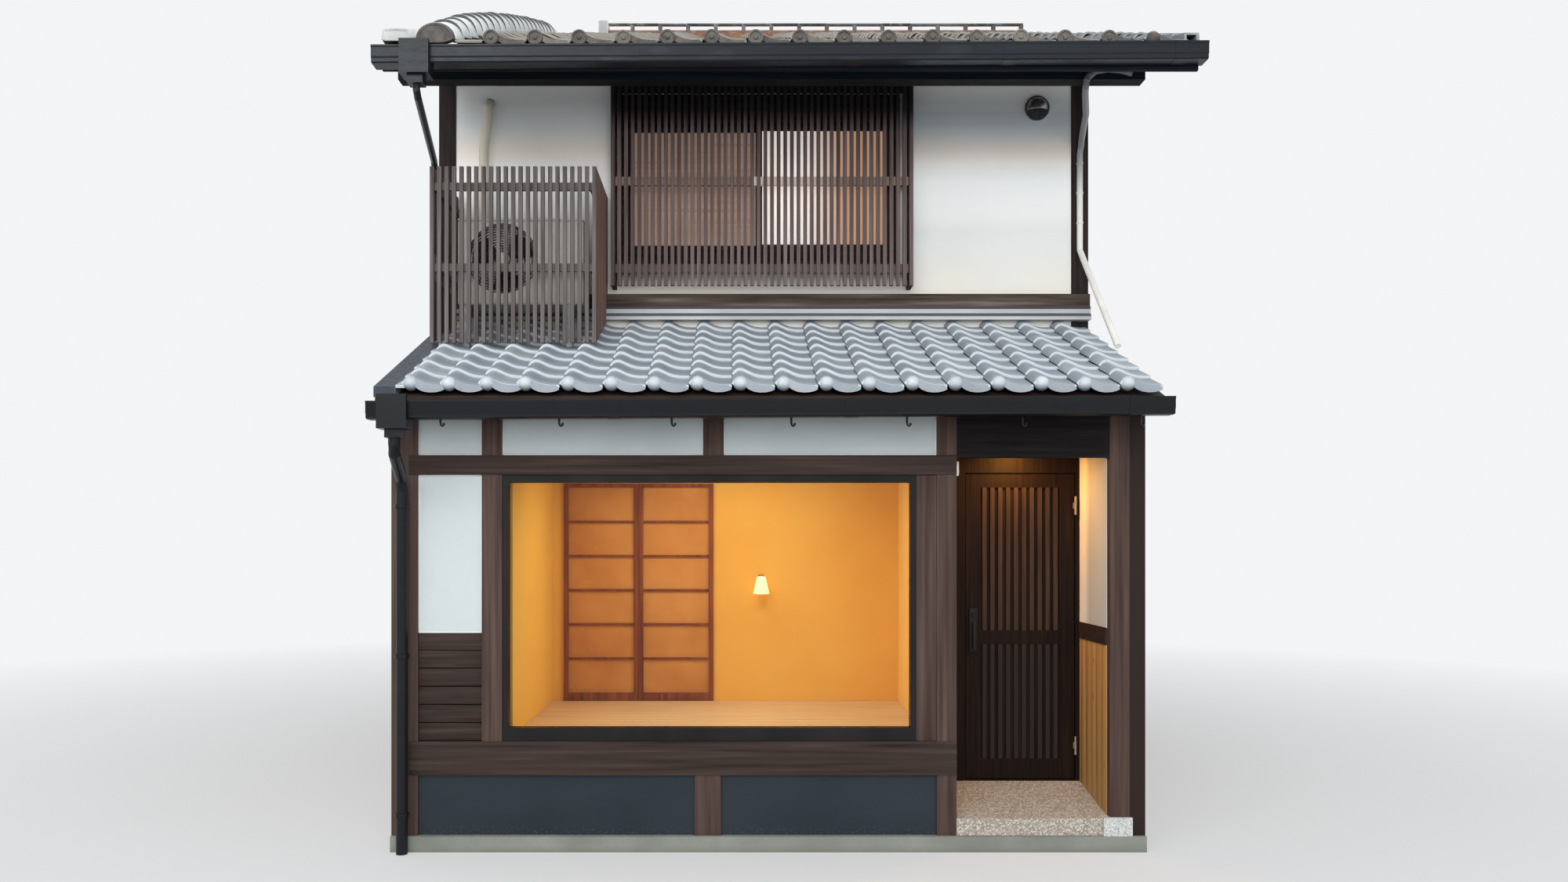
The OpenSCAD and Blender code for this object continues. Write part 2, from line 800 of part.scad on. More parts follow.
// Wall lamp: a small shade on a bracket plate on the back wall
module wall_lamp() {
    x = x_room + shoji_x + 2 * shoji_w + lamp_x;
    color("ivory") {
        translate([x, y_room - lamp_r - 20, lamp_z])
            cylinder(h = lamp_h, r1 = lamp_r, r2 = lamp_r / 2, $fn = 48);
        block(x - 15, x + 15, y_room - lamp_r - 20, y_room, lamp_z + lamp_h - 40, lamp_z + lamp_h - 10);
    }
}

// Entrance dado: pine boards low on the right of the entrance
module porch_dado() {
    color("goldenrod") block(x_lining, x_in_right, y_front + lining_in, y_frame + door_frame_d,
        slab_h, lining_rail_z);
}

// Entrance rail: dark rail between the pine boards and the plaster
module porch_rail() {
    color("saddlebrown") block(x_lining - lining_out, x_in_right, y_front + lining_in,
        y_frame, lining_rail_z, lining_rail_z + lining_rail_h);
    color("saddlebrown") block(x_lining, x_in_right, y_frame - 1,
        y_frame + door_frame_d, lining_rail_z, lining_rail_z + lining_rail_h);
}

// Entrance header: the dark board over the recess
module porch_header() {
    color("saddlebrown") block(x_porch, x_corner, y_front, y_front + lining_in,
        porch_head_z, plate_z);
}

// Stone: the cut block under the corner post
module post_stone() {
    color("silver") block(x_corner - stone_side, x_end, y_front - stone_out,
        y_front + lining_in, slab_h, slab_h + stone_h);
}

// Door frame: jambs, head, side board and threshold, with a stop behind the leaf
module door_frame() {
    x0 = x_door_left - door_gap;
    x1 = x_door_right + door_gap;
    y1 = y_frame + door_frame_d;
    y_stop = y_door + door_t + door_gap;
    color("saddlebrown") difference() {
        block(x_porch, x_lining, y_frame, y1, floor_z, ceiling_z + ceiling_t);
        block(x0, x1, y_frame - 1, y_stop, floor_z + threshold_h, door_top + door_gap);
        block(x0 + stop_w, x1 - stop_w, y_stop - 1, y1 + 1, floor_z + threshold_h,
            door_top + door_gap - stop_w);
        block(x_porch - 1, x0 - latch_jamb_w, y_frame - 1, y_door, floor_z - 1,
            ceiling_z + ceiling_t + 1);
    }
}

// Door leaf: stiles and rails round a thin board
module door_leaf() {
    color("saddlebrown") difference() {
        block(x_door_left, x_door_right, y_door, y_door + door_t, door_z, door_top);
        for (z = [[door_z + bottom_rail_h, mid_rail_z], [mid_rail_z + mid_rail_h, door_top - top_rail_h]])
            for (y = [[y_door - 1, y_door + (door_t - door_board_t) / 2],
                      [y_door + (door_t + door_board_t) / 2, y_door + door_t + 1]])
                block(x_door_left + stile_w, x_door_right - stile_w, y[0], y[1], z[0], z[1]);
    }
}

// Door slats: upright bars in front of the board, in both fields
module door_slats() {
    pitch = (door_w - 2 * stile_w) / door_slats_n;
    y1 = y_door + (door_t - door_board_t) / 2;
    color("rosybrown") for (i = [0:door_slats_n - 1]) {
        x = x_door_left + stile_w + (i + 0.5) * pitch;
        block(x - door_slat_w / 2, x + door_slat_w / 2, y1 - door_slat_d, y1,
            door_z + bottom_rail_h, mid_rail_z);
        block(x - door_slat_w / 2, x + door_slat_w / 2, y1 - door_slat_d, y1,
            mid_rail_z + mid_rail_h, door_top - top_rail_h);
    }
}

// Door lock: black plate with an upright grip and a round thumb turn
module door_lock() {
    x = x_door_left + stile_w / 2;
    z = door_z + lock_z;
    y = y_door - lock_t;
    color("black") {
        block(x - lock_w / 2, x + lock_w / 2, y, y_door, z, z + lock_h);
        for (dz = [lock_h * 0.12, lock_h * 0.62])
            translate([x, y + 1, z + dz]) rotate([90, 0, 0])
                cylinder(h = grip_out - grip_w / 2 + 3, r = grip_w / 3, $fn = 32);
        block(x - grip_w / 2, x + grip_w / 2, y - grip_out, y - grip_out + grip_w / 2,
            z + lock_h * 0.04, z + lock_h * 0.7);
        translate([x, y + 1, z + lock_h * 0.86]) rotate([90, 0, 0])
            cylinder(h = 12, r = lock_w / 3, $fn = 48);
    }
}

// Hinge barrels turn round the pins: the middle one on the door, two on the frame
module barrel(z0, h, r) {
    translate([hinge_x, hinge_y, z0]) cylinder(h = h, r = r, $fn = 48);
}
hinge_heights = [door_z + low_hinge_z, door_z + high_hinge_z];
module door_hinges() {
    color("silver") for (z = hinge_heights) difference() {
        union() {
            barrel(z - barrel_h / 2, barrel_h, hinge_r);
            block(hinge_x - hinge_leaf_w - door_gap, hinge_x, hinge_y, hinge_y + hinge_leaf_t,
                z - barrel_h / 2, z + barrel_h / 2);
            block(hinge_x - hinge_leaf_w - door_gap, hinge_x - door_gap, hinge_y, y_door,
                z - barrel_h / 2, z + barrel_h / 2);
        }
        barrel(z - barrel_h, 2 * barrel_h, pin_r + pin_gap);
    }
}
module hinge_pins() {
    half = barrel_h / 2 + barrel_gap;
    color("silver") for (z = hinge_heights) {
        barrel(z - half - barrel_h, 2 * (half + barrel_h), pin_r);
        for (z0 = [z - half - barrel_h, z + half]) {
            barrel(z0, barrel_h, hinge_r);
            block(hinge_x, hinge_x + hinge_leaf_w, hinge_y, y_frame, z0, z0 + barrel_h);
        }
    }
}

// Upper floor: boards and joists between the party walls
module upper_floor() {
    color("burlywood") block(x_in_left, x_in_right, y_upper, y_rear - rear_t,
        upper_floor_z - upper_floor_t, upper_floor_z);
}

// Lower roof boards: boards on rafters, with the fascia along their ends
module lower_roof_boards() {
    y0 = y_lower_eave + fascia_in;
    y1 = y0 + fascia_t;
    step = (x_in_right - x_in_left - 2 * rafter_w) / (rafters_n - 1);
    color("saddlebrown") {
        along_x(x_left, x_right, [
            [y0, lower_deck(y0)], [y0, lower_deck(y0) - fascia_h],
            [y1, lower_deck(y0) - fascia_h], [y1, lower_under(y1)],
            [y_upper, lower_under(y_upper)], [y_upper, lower_deck(y_upper)]
        ]);
        for (i = [0:rafters_n - 1]) {
            x = x_in_left + rafter_w / 2 + i * step;
            along_x(x, x + rafter_w, [
                [y1 - 1, lower_under(y1) + 1], [y1 - 1, lower_under(y1) - rafter_h],
                [y_upper, lower_under(y_upper) - rafter_h], [y_upper, lower_under(y_upper) + 1]
            ]);
        }
    }
}

// One roll of a pantile as [x, height] points, for a roll in the middle of its width
function roll(x, w, h) = [for (k = [-3:3]) [x + w * k / 3, h * pow(cos(30 * k), 2)]];
function lift(points, base) = [for (p = points) [p[0], p[1] + base]];

// A tile layer of [x, height] points laid down a slope from its upper end
module tile_layer(points, y_top, z_top, run, pitch) {
    a = atan(pitch);
    lean = tile_t * sin(a) * cos(a);
    translate([0, y_top, z_top + tile_gap]) rotate([90 + a, 0, 0])
        linear_extrude(height = (run - lean) / cos(a)) polygon(points);
}

// Lower roof tiles: pantile columns running down to the eave
module lower_roof_tiles() {
    base = tile_t * cos(atan(lower_pitch));
    y_top = y_upper - fascia_t;
    rolls = [for (i = [0:lower_cols - 1]) each roll(lower_roll(i), roll_w, roll_h)];
    color("slategray") tile_layer(
        concat([[x_tiles, 0], [x_tiles, base]], lift(rolls, base), [[x_right, base], [x_right, 0]]),
        y_top, lower_deck(y_top), y_top - y_lower_eave, lower_pitch);
}

// Flashing: grey metal over the tiles' upper end, and the strip along the left edge
module roof_flashing() {
    z0 = beam_z - flashing_h;
    color("lightgray") {
        along_x(x_left, x_right, [
            [y_upper - flashing_out, z0], [y_upper, z0], [y_upper, beam_z],
            [y_upper - flashing_out + 15, beam_z], [y_upper - flashing_out + 15, z0 + flashing_h / 2],
            [y_upper - flashing_out + 22, z0 + flashing_h / 2 - 6],
            [y_upper - flashing_out, z0 + flashing_h / 2 - 12]
        ]);
        along_x(x_left, x_tiles - tile_gap, [
            [y_lower_eave, lower_deck(y_lower_eave)], [y_upper, lower_deck(y_upper)],
            [y_upper, lower_top(y_upper)], [y_lower_eave, lower_top(y_lower_eave)]
        ]);
    }
}

// Upper beam: the weathered timber along the foot of the upper wall
module upper_beam() {
    color("dimgray") block(x_left, x_right, y_upper - beam_out, y_upper, beam_z, beam_top);
}

// Upper posts: one at each end of the upper wall
module upper_posts() {
    y1 = y_upper + front_t;
    color("saddlebrown") for (x = [x_left, x_in_right])
        along_x(x, x + party_t, [
            [y_upper, post_base_z], [y1, post_base_z],
            [y1, upper_under(y1) - rafter_h], [y_upper, upper_under(y_upper) - rafter_h]
        ]);
}

// Upper wall: white plaster with the window opening cut through it
module upper_wall() {
    y0 = y_upper + plaster_in;
    y1 = y0 + upper_wall_t;
    color("white") difference() {
        along_x(x_in_left, x_in_right, [
            [y0, upper_floor_z], [y1, upper_floor_z],
            [y1, upper_under(y1) - rafter_h], [y0, upper_under(y0) - rafter_h]
        ]);
        block(x_casing, x_casing + casing_w, y0 - 1, y1 + 1, casing_z, casing_z + casing_h);
    }
}

// Window casing: four boards round the opening, and side boards that carry the lattice
module window_casing() {
    y0 = y_upper + plaster_in;
    y1 = y_upper - lattice_out + lattice_d;
    y2 = y0 + upper_wall_t;
    x0 = x_casing;
    x1 = x_casing + casing_w;
    x2 = x_lattice + lattice_w;
    z1 = sash_z + sash_h;
    color("saddlebrown") {
        block(x0, x1, y0, y2, casing_z, sash_z);
        block(x0, x1, y0, y2, z1, casing_z + casing_h);
        block(x0, x0 + casing_side, y0, y2, sash_z + wall_gap, z1 - wall_gap);
        block(x1 - casing_side, x1, y0, y2, sash_z + wall_gap, z1 - wall_gap);
        block(x_lattice, x_lattice + cheek_t, y1, y0, lattice_z, lattice_z + lattice_h);
        block(x2 - cheek_t, x2, y1, y0, lattice_z, lattice_z + lattice_h);
    }
}

// Sliding sashes: two board sashes on their own tracks
module sliding_sashes() {
    y0 = y_upper + plaster_in;
    x0 = x_casing + casing_side;
    color("sienna") {
        sash(x0, sash_w, y0 + sash_t + 15, sash_z, sash_h);
        sash(x0 + sash_w - sash_lap, sash_w, y0 + 10, sash_z, sash_h);
    }
}

// Window lattice: upright slats on rails, carried by the side boards
module window_lattice() {
    y0 = y_upper - lattice_out;
    n = floor((lattice_w - lattice_slat) / lattice_pitch);
    step = (lattice_w - lattice_slat) / n;
    color("saddlebrown") {
        for (i = [0:n])
            block(x_lattice + i * step, x_lattice + i * step + lattice_slat, y0, y0 + lattice_d,
                lattice_z, lattice_z + lattice_h);
        for (z = [0.07, 0.52, 1] * (lattice_h - lattice_rail_h))
            block(x_lattice + cheek_t, x_lattice + lattice_w - cheek_t, y0 + lattice_d - 2,
                y0 + lattice_d + lattice_rail_d, lattice_z + z, lattice_z + z + lattice_rail_h);
    }
}

// Cage: slatted screens round the outdoor unit, fixed to the wall
function cage_foot(y) = lower_top(y) + roll_h + cage_lift;
cage_rails = [beam_top + 12, cage_top - 150];
module cage_front() {
    n = floor((cage_w - cage_slat) / cage_pitch);
    step = (cage_w - cage_slat) / n;
    color("dimgray") {
        for (i = [0:n])
            block(x_cage + i * step, x_cage + i * step + cage_slat, y_cage, y_cage + cage_slat_d,
                cage_foot(y_cage + cage_slat_d), cage_top);
        for (z = cage_rails)
            block(x_cage + cage_slat, x_cage + cage_w - cage_slat, y_cage + cage_slat_d - 2,
                y_cage + cage_slat_d + cage_rail_d, z, z + cage_rail_h);
    }
}
module cage_side(x0, x_rail) {
    y0 = y_cage + cage_slat_d + cage_rail_d + wall_gap;
    n = floor((y_upper - y0 - cage_slat) / cage_pitch);
    step = (y_upper - y0 - cage_slat) / n;
    for (i = [0:n]) {
        y = y0 + i * step;
        over_beam = y + cage_slat > y_upper - flashing_out - 2;
        block(x0, x0 + cage_slat_d, y, y + cage_slat, over_beam ? beam_top + 5 : cage_foot(y + cage_slat),
            cage_top);
    }
    for (z = cage_rails)
        block(x_rail, x_rail + cage_rail_d, y0, y_upper + plaster_in, z, z + cage_rail_h);
}
module cage_left() {
    color("dimgray") cage_side(x_cage, x_cage + cage_slat_d - 2);
}
module cage_right() {
    color("dimgray") cage_side(x_cage + cage_w - cage_slat_d, x_cage + cage_w - cage_slat_d - cage_rail_d + 2);
}

// Outdoor unit: sheet-metal casing with a round fan opening
module outdoor_unit() {
    color("gainsboro") difference() {
        block(x_unit, x_unit + unit_w, y_unit, y_unit + unit_d, unit_z, unit_z + unit_h);
        translate([x_unit + fan_x, y_unit + fan_depth, unit_z + unit_h / 2 + 20]) rotate([90, 0, 0])
            difference() {
                cylinder(h = fan_depth + 1, r = fan_r, $fn = 64);
                translate([0, 0, -1]) cylinder(h = fan_depth - 20, r = fan_r / 3, $fn = 48);
            }
    }
}

// Stand: two bars under the unit, each on two legs that stand in the tiles' troughs
module unit_stand() {
    y1 = y_unit + unit_d;
    z0 = unit_z - stand_bar;
    troughs = [for (i = [0:lower_cols - 2]) (lower_roll(i) + lower_roll(i + 1)) / 2];
    below = [for (x = troughs) if (x > x_unit + stand_bar && x < x_unit + unit_w - stand_bar) x];
    color("lightgray") for (middle = [below[0], below[len(below) - 1]]) {
        x = middle - stand_bar / 2;
        block(x, x + stand_bar, y_unit, y1, z0, unit_z);
        for (y = [y_unit, y1 - stand_bar])
            along_x(x, x + stand_bar, [
                [y, lower_top(y) + 2 * tile_gap], [y + stand_bar, lower_top(y + stand_bar) + 2 * tile_gap],
                [y + stand_bar, z0 + 1], [y, z0 + 1]
            ]);
    }
}

// Vent hood: round rim with a half-ball hood, open below
module vent_hood() {
    color("silver") translate([x_left + vent_x, y_upper + plaster_in, vent_z]) rotate([90, 0, 0]) {
        difference() {
            cylinder(h = vent_rim, r = vent_r, $fn = 64);
            translate([0, 0, 6]) cylinder(h = vent_rim, r = vent_r - 8, $fn = 64);
        }
        difference() {
            intersection() {
                sphere(r = vent_r - 6, $fn = 64);
                translate([-vent_r, -vent_r / 4, 5]) cube([2 * vent_r, 2 * vent_r, vent_r]);
            }
            sphere(r = vent_r - 12, $fn = 64);
        }
    }
}

// Pipe cover: comes out of the wall, bends and runs down into the cage
module pipe_cover() {
    x = x_left + cover_x;
    y = y_upper + plaster_in;
    drop = 45;
    color("beige") swept_pipe([
        [x, y, cover_z], [x, y - 22, cover_z], [x, y - 38, cover_z - 8], [x, y - drop, cover_z - 28],
        [x, y - drop, cover_z - 90], [x - 30, y - drop, cover_z - 330], [x - 30, y - drop, beam_top + 15]
    ], cover_r);
}

// Conduit: along the eave beam's front, under it to the post, down and out over the roof
module conduit() {
    x = x_conduit;
    x_foot = x_right - conduit_r - 9;
    y = y_upper - conduit_r;
    y0 = y_beam - eave_beam_w / 2;
    y1 = y_beam + eave_beam_w / 2;
    y_foot = y_front + conduit_foot;
    z = eave_beam_z;
    out = conduit_r + 2;
    color("white") swept_pipe([
        [x_right - 40, y0 - out, z + 30], [x_right - 110, y0 - out, z + 50],
        [x_right - 190, y0 - out, z + 56], [x_right - 265, y0 - out, z + 44],
        [x_right - 312, y0 - out, z + 8], [x_right - 322, y0 - out - 2, z - 14],
        [x_right - 322, y0 - 14, z - out - 10], [x_right - 318, y0 + 14, z - out - 16],
        [x_right - 290, y1 + 10, z - out - 20], [x - 120, y - 0.57 * eave_beam_out, z - out - 30],
        [x - 20, y - 120, z - out - 40], [x, y - 30, z - 90], [x, y, z - 140],
        [x, y, conduit_z + 60], [x, y, conduit_z],
        [x + 8, y - 40, conduit_z - 60], [x_foot, y_foot, lower_top(y_foot) + roll_h]
    ], conduit_r);
}

// Eave beam: carries the rafters in front of the upper wall, under two sloping arms
module eave_beam() {
    y0 = y_beam - eave_beam_w / 2;
    y1 = y_beam + eave_beam_w / 2;
    color("black") {
        along_x(x_left, x_right + eave_beam_end, [
            [y0, eave_beam_z], [y1, eave_beam_z], [y1, upper_under(y1) - rafter_h],
            [y0, upper_under(y0) - rafter_h]
        ]);
        for (x = [x_left, x_in_right])
            along_x(x, x + eave_arm, [
                [y0, upper_under(y0) - rafter_h - 1], [y1, upper_under(y1) - rafter_h - 1],
                [y1, upper_under(y1) - eave_arm], [y_upper, upper_under(y_upper) - eave_arm],
                [y_upper, upper_under(y_upper) - tile_gap], [y0, upper_under(y0) - tile_gap]
            ]);
    }
}

// Upper roof boards: one slope of boards on rafters, drawn for the front and mirrored behind
module at_rear() {
    translate([0, 2 * y_ridge, 0]) mirror([0, 1, 0]) children();
}
module upper_slope_boards() {
    y0 = y_upper_eave + fascia_in;
    y1 = y0 + fascia_t;
    y2 = y_ridge - wall_gap / 2;
    step = (x_in_right - x_in_left - 2 * rafter_w) / (rafters_n - 1);
    along_x(x_roof_left, x_roof_right, [
        [y0, upper_deck(y0)], [y0, upper_deck(y0) - fascia_h],
        [y1, upper_deck(y0) - fascia_h], [y1, upper_under(y1)],
        [y2, upper_under(y2)], [y2, upper_deck(y2)]
    ]);
    for (i = [0:rafters_n - 1]) {
        x = x_in_left + rafter_w / 2 + i * step;
        along_x(x, x + rafter_w, [
            [y1 - 1, upper_under(y1) + 1], [y1 - 1, upper_under(y1) - rafter_h],
            [y2, upper_under(y2) - rafter_h], [y2, upper_under(y2) + 1]
        ]);
    }
}
module upper_roof_boards() {
    color("saddlebrown") {
        upper_slope_boards();
        at_rear() upper_slope_boards();
    }
}

// Upper roof tiles: flat edge tiles, a half-round column and pantile columns
module upper_slope_tiles() {
    base = tile_t * cos(atan(upper_pitch));
    y_top = y_ridge - ridge_w / 2 - 1;
    verge = [for (k = [0:12]) [x_verge_roll - verge_roll_r * cos(15 * k), verge_roll_h * sin(15 * k)]];
    rolls = [for (i = [0:upper_cols - 1]) each roll(x_first_roll + i * upper_tile_w, roll_w, roll_h)];
    tile_layer(
        concat([[x_roof_left, 0], [x_roof_left, base + verge_edge_h],
            [x_verge_roll - verge_roll_r - 30, base + verge_edge_h],
            [x_verge_roll - verge_roll_r - 24, base]], lift(verge, base), lift(rolls, base),
            [[x_roof_right, base], [x_roof_right, 0]]),
        y_top, upper_deck(y_top), y_top - y_upper_eave, upper_pitch);
}
module upper_roof_tiles() {
    color("dimgray") {
        upper_slope_tiles();
        at_rear() upper_slope_tiles();
    }
}

// Ridge: stacked flat tiles under a rounded cap, along the top of the roof
module ridge_cap() {
    y0 = y_ridge - ridge_w / 2;
    y1 = y_ridge + ridge_w / 2;
    z1 = upper_top(y_ridge) + ridge_h;
    color("dimgray") along_x(x_roof_left + ridge_left, x_roof_right - ridge_right, [
        [y0, upper_deck(y0) + tile_gap], [y_ridge, upper_deck(y_ridge) + tile_gap],
        [y1, upper_deck(y1) + tile_gap],
        [y1, z1 - 70], [y_ridge + 70, z1 - 70], [y_ridge + 66, z1 - 34], [y_ridge + 44, z1 - 8],
        [y_ridge, z1], [y_ridge - 44, z1 - 8], [y_ridge - 66, z1 - 34], [y_ridge - 70, z1 - 70],
        [y0, z1 - 70]
    ]);
}

// Gutters: open boxes along the eaves, closed at both ends
module gutter(x0, x1, y1, z1) {
    y0 = y1 - gutter_w;
    difference() {
        block(x0, x1, y0, y1, z1 - gutter_h, z1);
        block(x0 + gutter_t, x1 - gutter_t, y0 + gutter_t, y1 - gutter_t,
            z1 - gutter_h + gutter_t, z1 + 1);
    }
}
module gutters() {
    color("darkslategray") {
        gutter(x_left - gutter_over, x_right + gutter_over, y_lower_eave + fascia_in,
            z_lower_gutter);
        gutter(x_roof_left - gutter_over, x_roof_right + gutter_over, y_upper_eave + fascia_in,
            z_upper_gutter);
        at_rear() gutter(x_roof_left - gutter_over, x_roof_right + gutter_over,
            y_upper_eave + fascia_in, z_upper_gutter);
    }
}

// Rain hoppers: the box that each front gutter empties into
module hopper(x0, y_gutter, z1) {
    y1 = y_gutter - wall_gap;
    z0 = z1 - gutter_h - wall_gap;
    color("darkslategray") {
        block(x0, x0 + hopper_w, y1 - hopper_lip, y1, z0 - hopper_h, z1 + hopper_rise);
        block(x0, x0 + hopper_w, y1 - 1, y1 + gutter_w - 20, z0 - hopper_h, z0);
        block(x0 + 40, x0 + hopper_w - 40, y1, y1 + gutter_w - 40, z0 - hopper_h - 50, z0 - hopper_h + 1);
    }
}
module rain_hoppers() {
    hopper(x_left + lower_hopper_x, y_lower_eave + fascia_in - gutter_w, z_lower_gutter);
    hopper(x_left + upper_hopper_x, y_upper_eave + fascia_in - gutter_w, z_upper_gutter);
}

// Downpipes: from each hopper back to the wall, then straight down
module downpipes() {
    z_low = z_lower_gutter - wall_gap - gutter_h - hopper_h - 50;
    z_high = z_upper_gutter - wall_gap - gutter_h - hopper_h - 50;
    x_low = x_left + lower_hopper_x + hopper_w / 2;
    x_high = x_left + upper_hopper_x + hopper_w / 2;
    x_down = x_low - 53;
    x_wall = x_cage - upper_pipe_r - 4;
    y_low = y_lower_eave + fascia_in - gutter_w / 2 - 20;
    y_high = y_upper_eave + fascia_in - gutter_w / 2 - 20;
    y_wall = y_front - slab_out - lower_pipe_r - 3;
    y_down = y_cage + 244;
    z_foot = lower_top(y_down - upper_pipe_r) + 30;
    color("darkslategray") {
        swept_pipe([
            [x_low, y_low, z_low], [x_low, y_low, z_low - 30], [x_low - 10, y_low + 40, z_low - 90],
            [x_low - 45, y_wall - 40, z_low - 220], [x_down, y_wall, z_low - 290],
            [x_down, y_wall, z_low - 370], [x_down, y_wall, 0]
        ], lower_pipe_r, 16);
        swept_pipe([
            [x_high, y_high, z_high], [x_high, y_high, z_high - 25], [x_high - 8, y_high + 60, z_high - 50],
            [x_wall + 10, y_down - 60, z_high - 140], [x_wall, y_down, z_high - 180],
            [x_wall, y_down, z_high - 250], [x_wall, y_down, z_foot]
        ], upper_pipe_r, 12);
    }
}

foundation();
ground_floor();
porch_floor();
party_wall_left();
party_wall_right();
rear_wall();
rear_beams();
rear_windows();
front_posts();
front_beams();
plaster_panels();
bay_boards();
base_panels();
window_frame();
window_glass();
display_floor();
room_walls();
ceilings();
shoji_screens();
wall_lamp();
porch_dado();
porch_rail();
porch_header();
post_stone();
door_frame();
door_leaf();
door_slats();
door_lock();
door_hinges();
hinge_pins();
upper_floor();
lower_roof_boards();
lower_roof_tiles();
roof_flashing();
upper_beam();
upper_posts();
upper_wall();
window_casing();
sliding_sashes();
window_lattice();
cage_front();
cage_left();
cage_right();
outdoor_unit();
unit_stand();
vent_hood();
pipe_cover();
conduit();
eave_beam();
upper_roof_boards();
upper_roof_tiles();
ridge_cap();
gutters();
rain_hoppers();
downpipes();
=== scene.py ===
import math
import random

import bpy
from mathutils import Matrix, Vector


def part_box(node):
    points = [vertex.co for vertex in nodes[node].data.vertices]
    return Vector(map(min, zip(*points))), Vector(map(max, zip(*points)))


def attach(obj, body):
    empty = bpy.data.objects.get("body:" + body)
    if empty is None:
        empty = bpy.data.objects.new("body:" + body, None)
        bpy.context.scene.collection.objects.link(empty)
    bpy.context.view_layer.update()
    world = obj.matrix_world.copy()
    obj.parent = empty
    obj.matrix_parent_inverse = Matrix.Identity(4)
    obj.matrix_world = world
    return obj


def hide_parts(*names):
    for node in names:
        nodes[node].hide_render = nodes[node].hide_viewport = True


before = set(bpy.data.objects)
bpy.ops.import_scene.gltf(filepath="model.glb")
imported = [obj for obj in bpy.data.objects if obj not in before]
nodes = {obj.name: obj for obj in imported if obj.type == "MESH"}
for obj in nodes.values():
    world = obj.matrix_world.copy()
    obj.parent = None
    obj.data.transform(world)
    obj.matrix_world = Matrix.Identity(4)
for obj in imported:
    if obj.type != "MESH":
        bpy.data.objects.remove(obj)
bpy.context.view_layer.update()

# Foundation and ground floor: the house stands on a cast concrete slab that shows as a pale band
# under the boards, with a trowelled screed floor inside. Both are poured in place and carry faint
# blotches, pinholes and splash marks near the ground.


def paint(card):
    """A colour read off a paint card, 0 to 255, in linear values."""
    return [v / 3294.6 if v < 11 else ((v / 255 + 0.055) / 1.055) ** 2.4 for v in card] + [1]


def laid_on(finish, size, stretch=(1, 1, 1)):
    """Places on the piece, counted in lumps of one size in metres."""
    tree = finish.node_tree
    place = tree.nodes.new("ShaderNodeTexCoord")
    scale = tree.nodes.new("ShaderNodeMapping")
    scale.inputs["Scale"].default_value = [1 / (size * s) for s in stretch]
    tree.links.new(place.outputs["Object"], scale.inputs["Vector"])
    return scale.outputs["Vector"]


def grain(finish, size, stretch=(1, 1, 1), detail=6, twist=0.0):
    """A noise that lies on the piece; size is its coarsest lump in metres."""
    noise = finish.node_tree.nodes.new("ShaderNodeTexNoise")
    noise.inputs["Scale"].default_value = 1
    noise.inputs["Detail"].default_value = detail
    noise.inputs["Distortion"].default_value = twist
    finish.node_tree.links.new(laid_on(finish, size, stretch), noise.inputs["Vector"])
    return noise.outputs["Fac"]


def between(finish, pattern, low, high, to_low=0.0, to_high=1.0):
    """Spreads the part of a pattern from low to high over a new range."""
    spread = finish.node_tree.nodes.new("ShaderNodeMapRange")
    spread.inputs["From Min"].default_value = low
    spread.inputs["From Max"].default_value = high
    spread.inputs["To Min"].default_value = to_low
    spread.inputs["To Max"].default_value = to_high
    finish.node_tree.links.new(pattern, spread.inputs["Value"])
    return spread.outputs[0]


def along(finish, reading, axis, low, high, reach):
    """One axis of a reading of the surface: 0 at its low value, the reach at its high one."""
    tree = finish.node_tree
    surface = tree.nodes.new("ShaderNodeTexCoord")
    split = tree.nodes.new("ShaderNodeSeparateXYZ")
    tree.links.new(surface.outputs[reading], split.inputs[0])
    return between(finish, split.outputs[axis], low, high, 0, reach)


def height(finish, axis, low, high, reach=1.0):
    """How far up or along the house: 0 at the low place of one axis, the reach at the high."""
    return along(finish, "Object", axis, low, high, reach)


def facing(finish, axis, low, high, reach=1.0):
    """How far a face looks along one axis of the house: 0 at the low value, reach at the high."""
    return along(finish, "Normal", axis, low, high, reach)


def times(finish, first, second):
    """Two patterns multiplied."""
    both = finish.node_tree.nodes.new("ShaderNodeMath")
    both.operation = "MULTIPLY"
    finish.node_tree.links.new(first, both.inputs[0])
    finish.node_tree.links.new(second, both.inputs[1])
    return both.outputs[0]


def over(finish, pattern, card, way="MIX"):
    """Lays a colour over the finish so far, as strongly as the pattern says."""
    tree = finish.node_tree
    colour = tree.nodes["Principled BSDF"].inputs["Base Color"]
    mix = tree.nodes.new("ShaderNodeMix")
    mix.data_type, mix.blend_type = "RGBA", way
    tree.links.new(colour.links[0].from_socket, mix.inputs[6])
    mix.inputs[7].default_value = paint(card)
    tree.links.new(pattern, mix.inputs[0])
    tree.links.new(mix.outputs[2], colour)


def relief(finish, pattern, depth):
    """Raises the surface by the pattern, to the depth in metres."""
    tree = finish.node_tree
    normal = tree.nodes["Principled BSDF"].inputs["Normal"]
    bump = tree.nodes.new("ShaderNodeBump")
    bump.inputs["Distance"].default_value = depth
    tree.links.new(pattern, bump.inputs["Height"])
    if normal.links:
        tree.links.new(normal.links[0].from_socket, bump.inputs["Normal"])
    tree.links.new(bump.outputs["Normal"], normal)


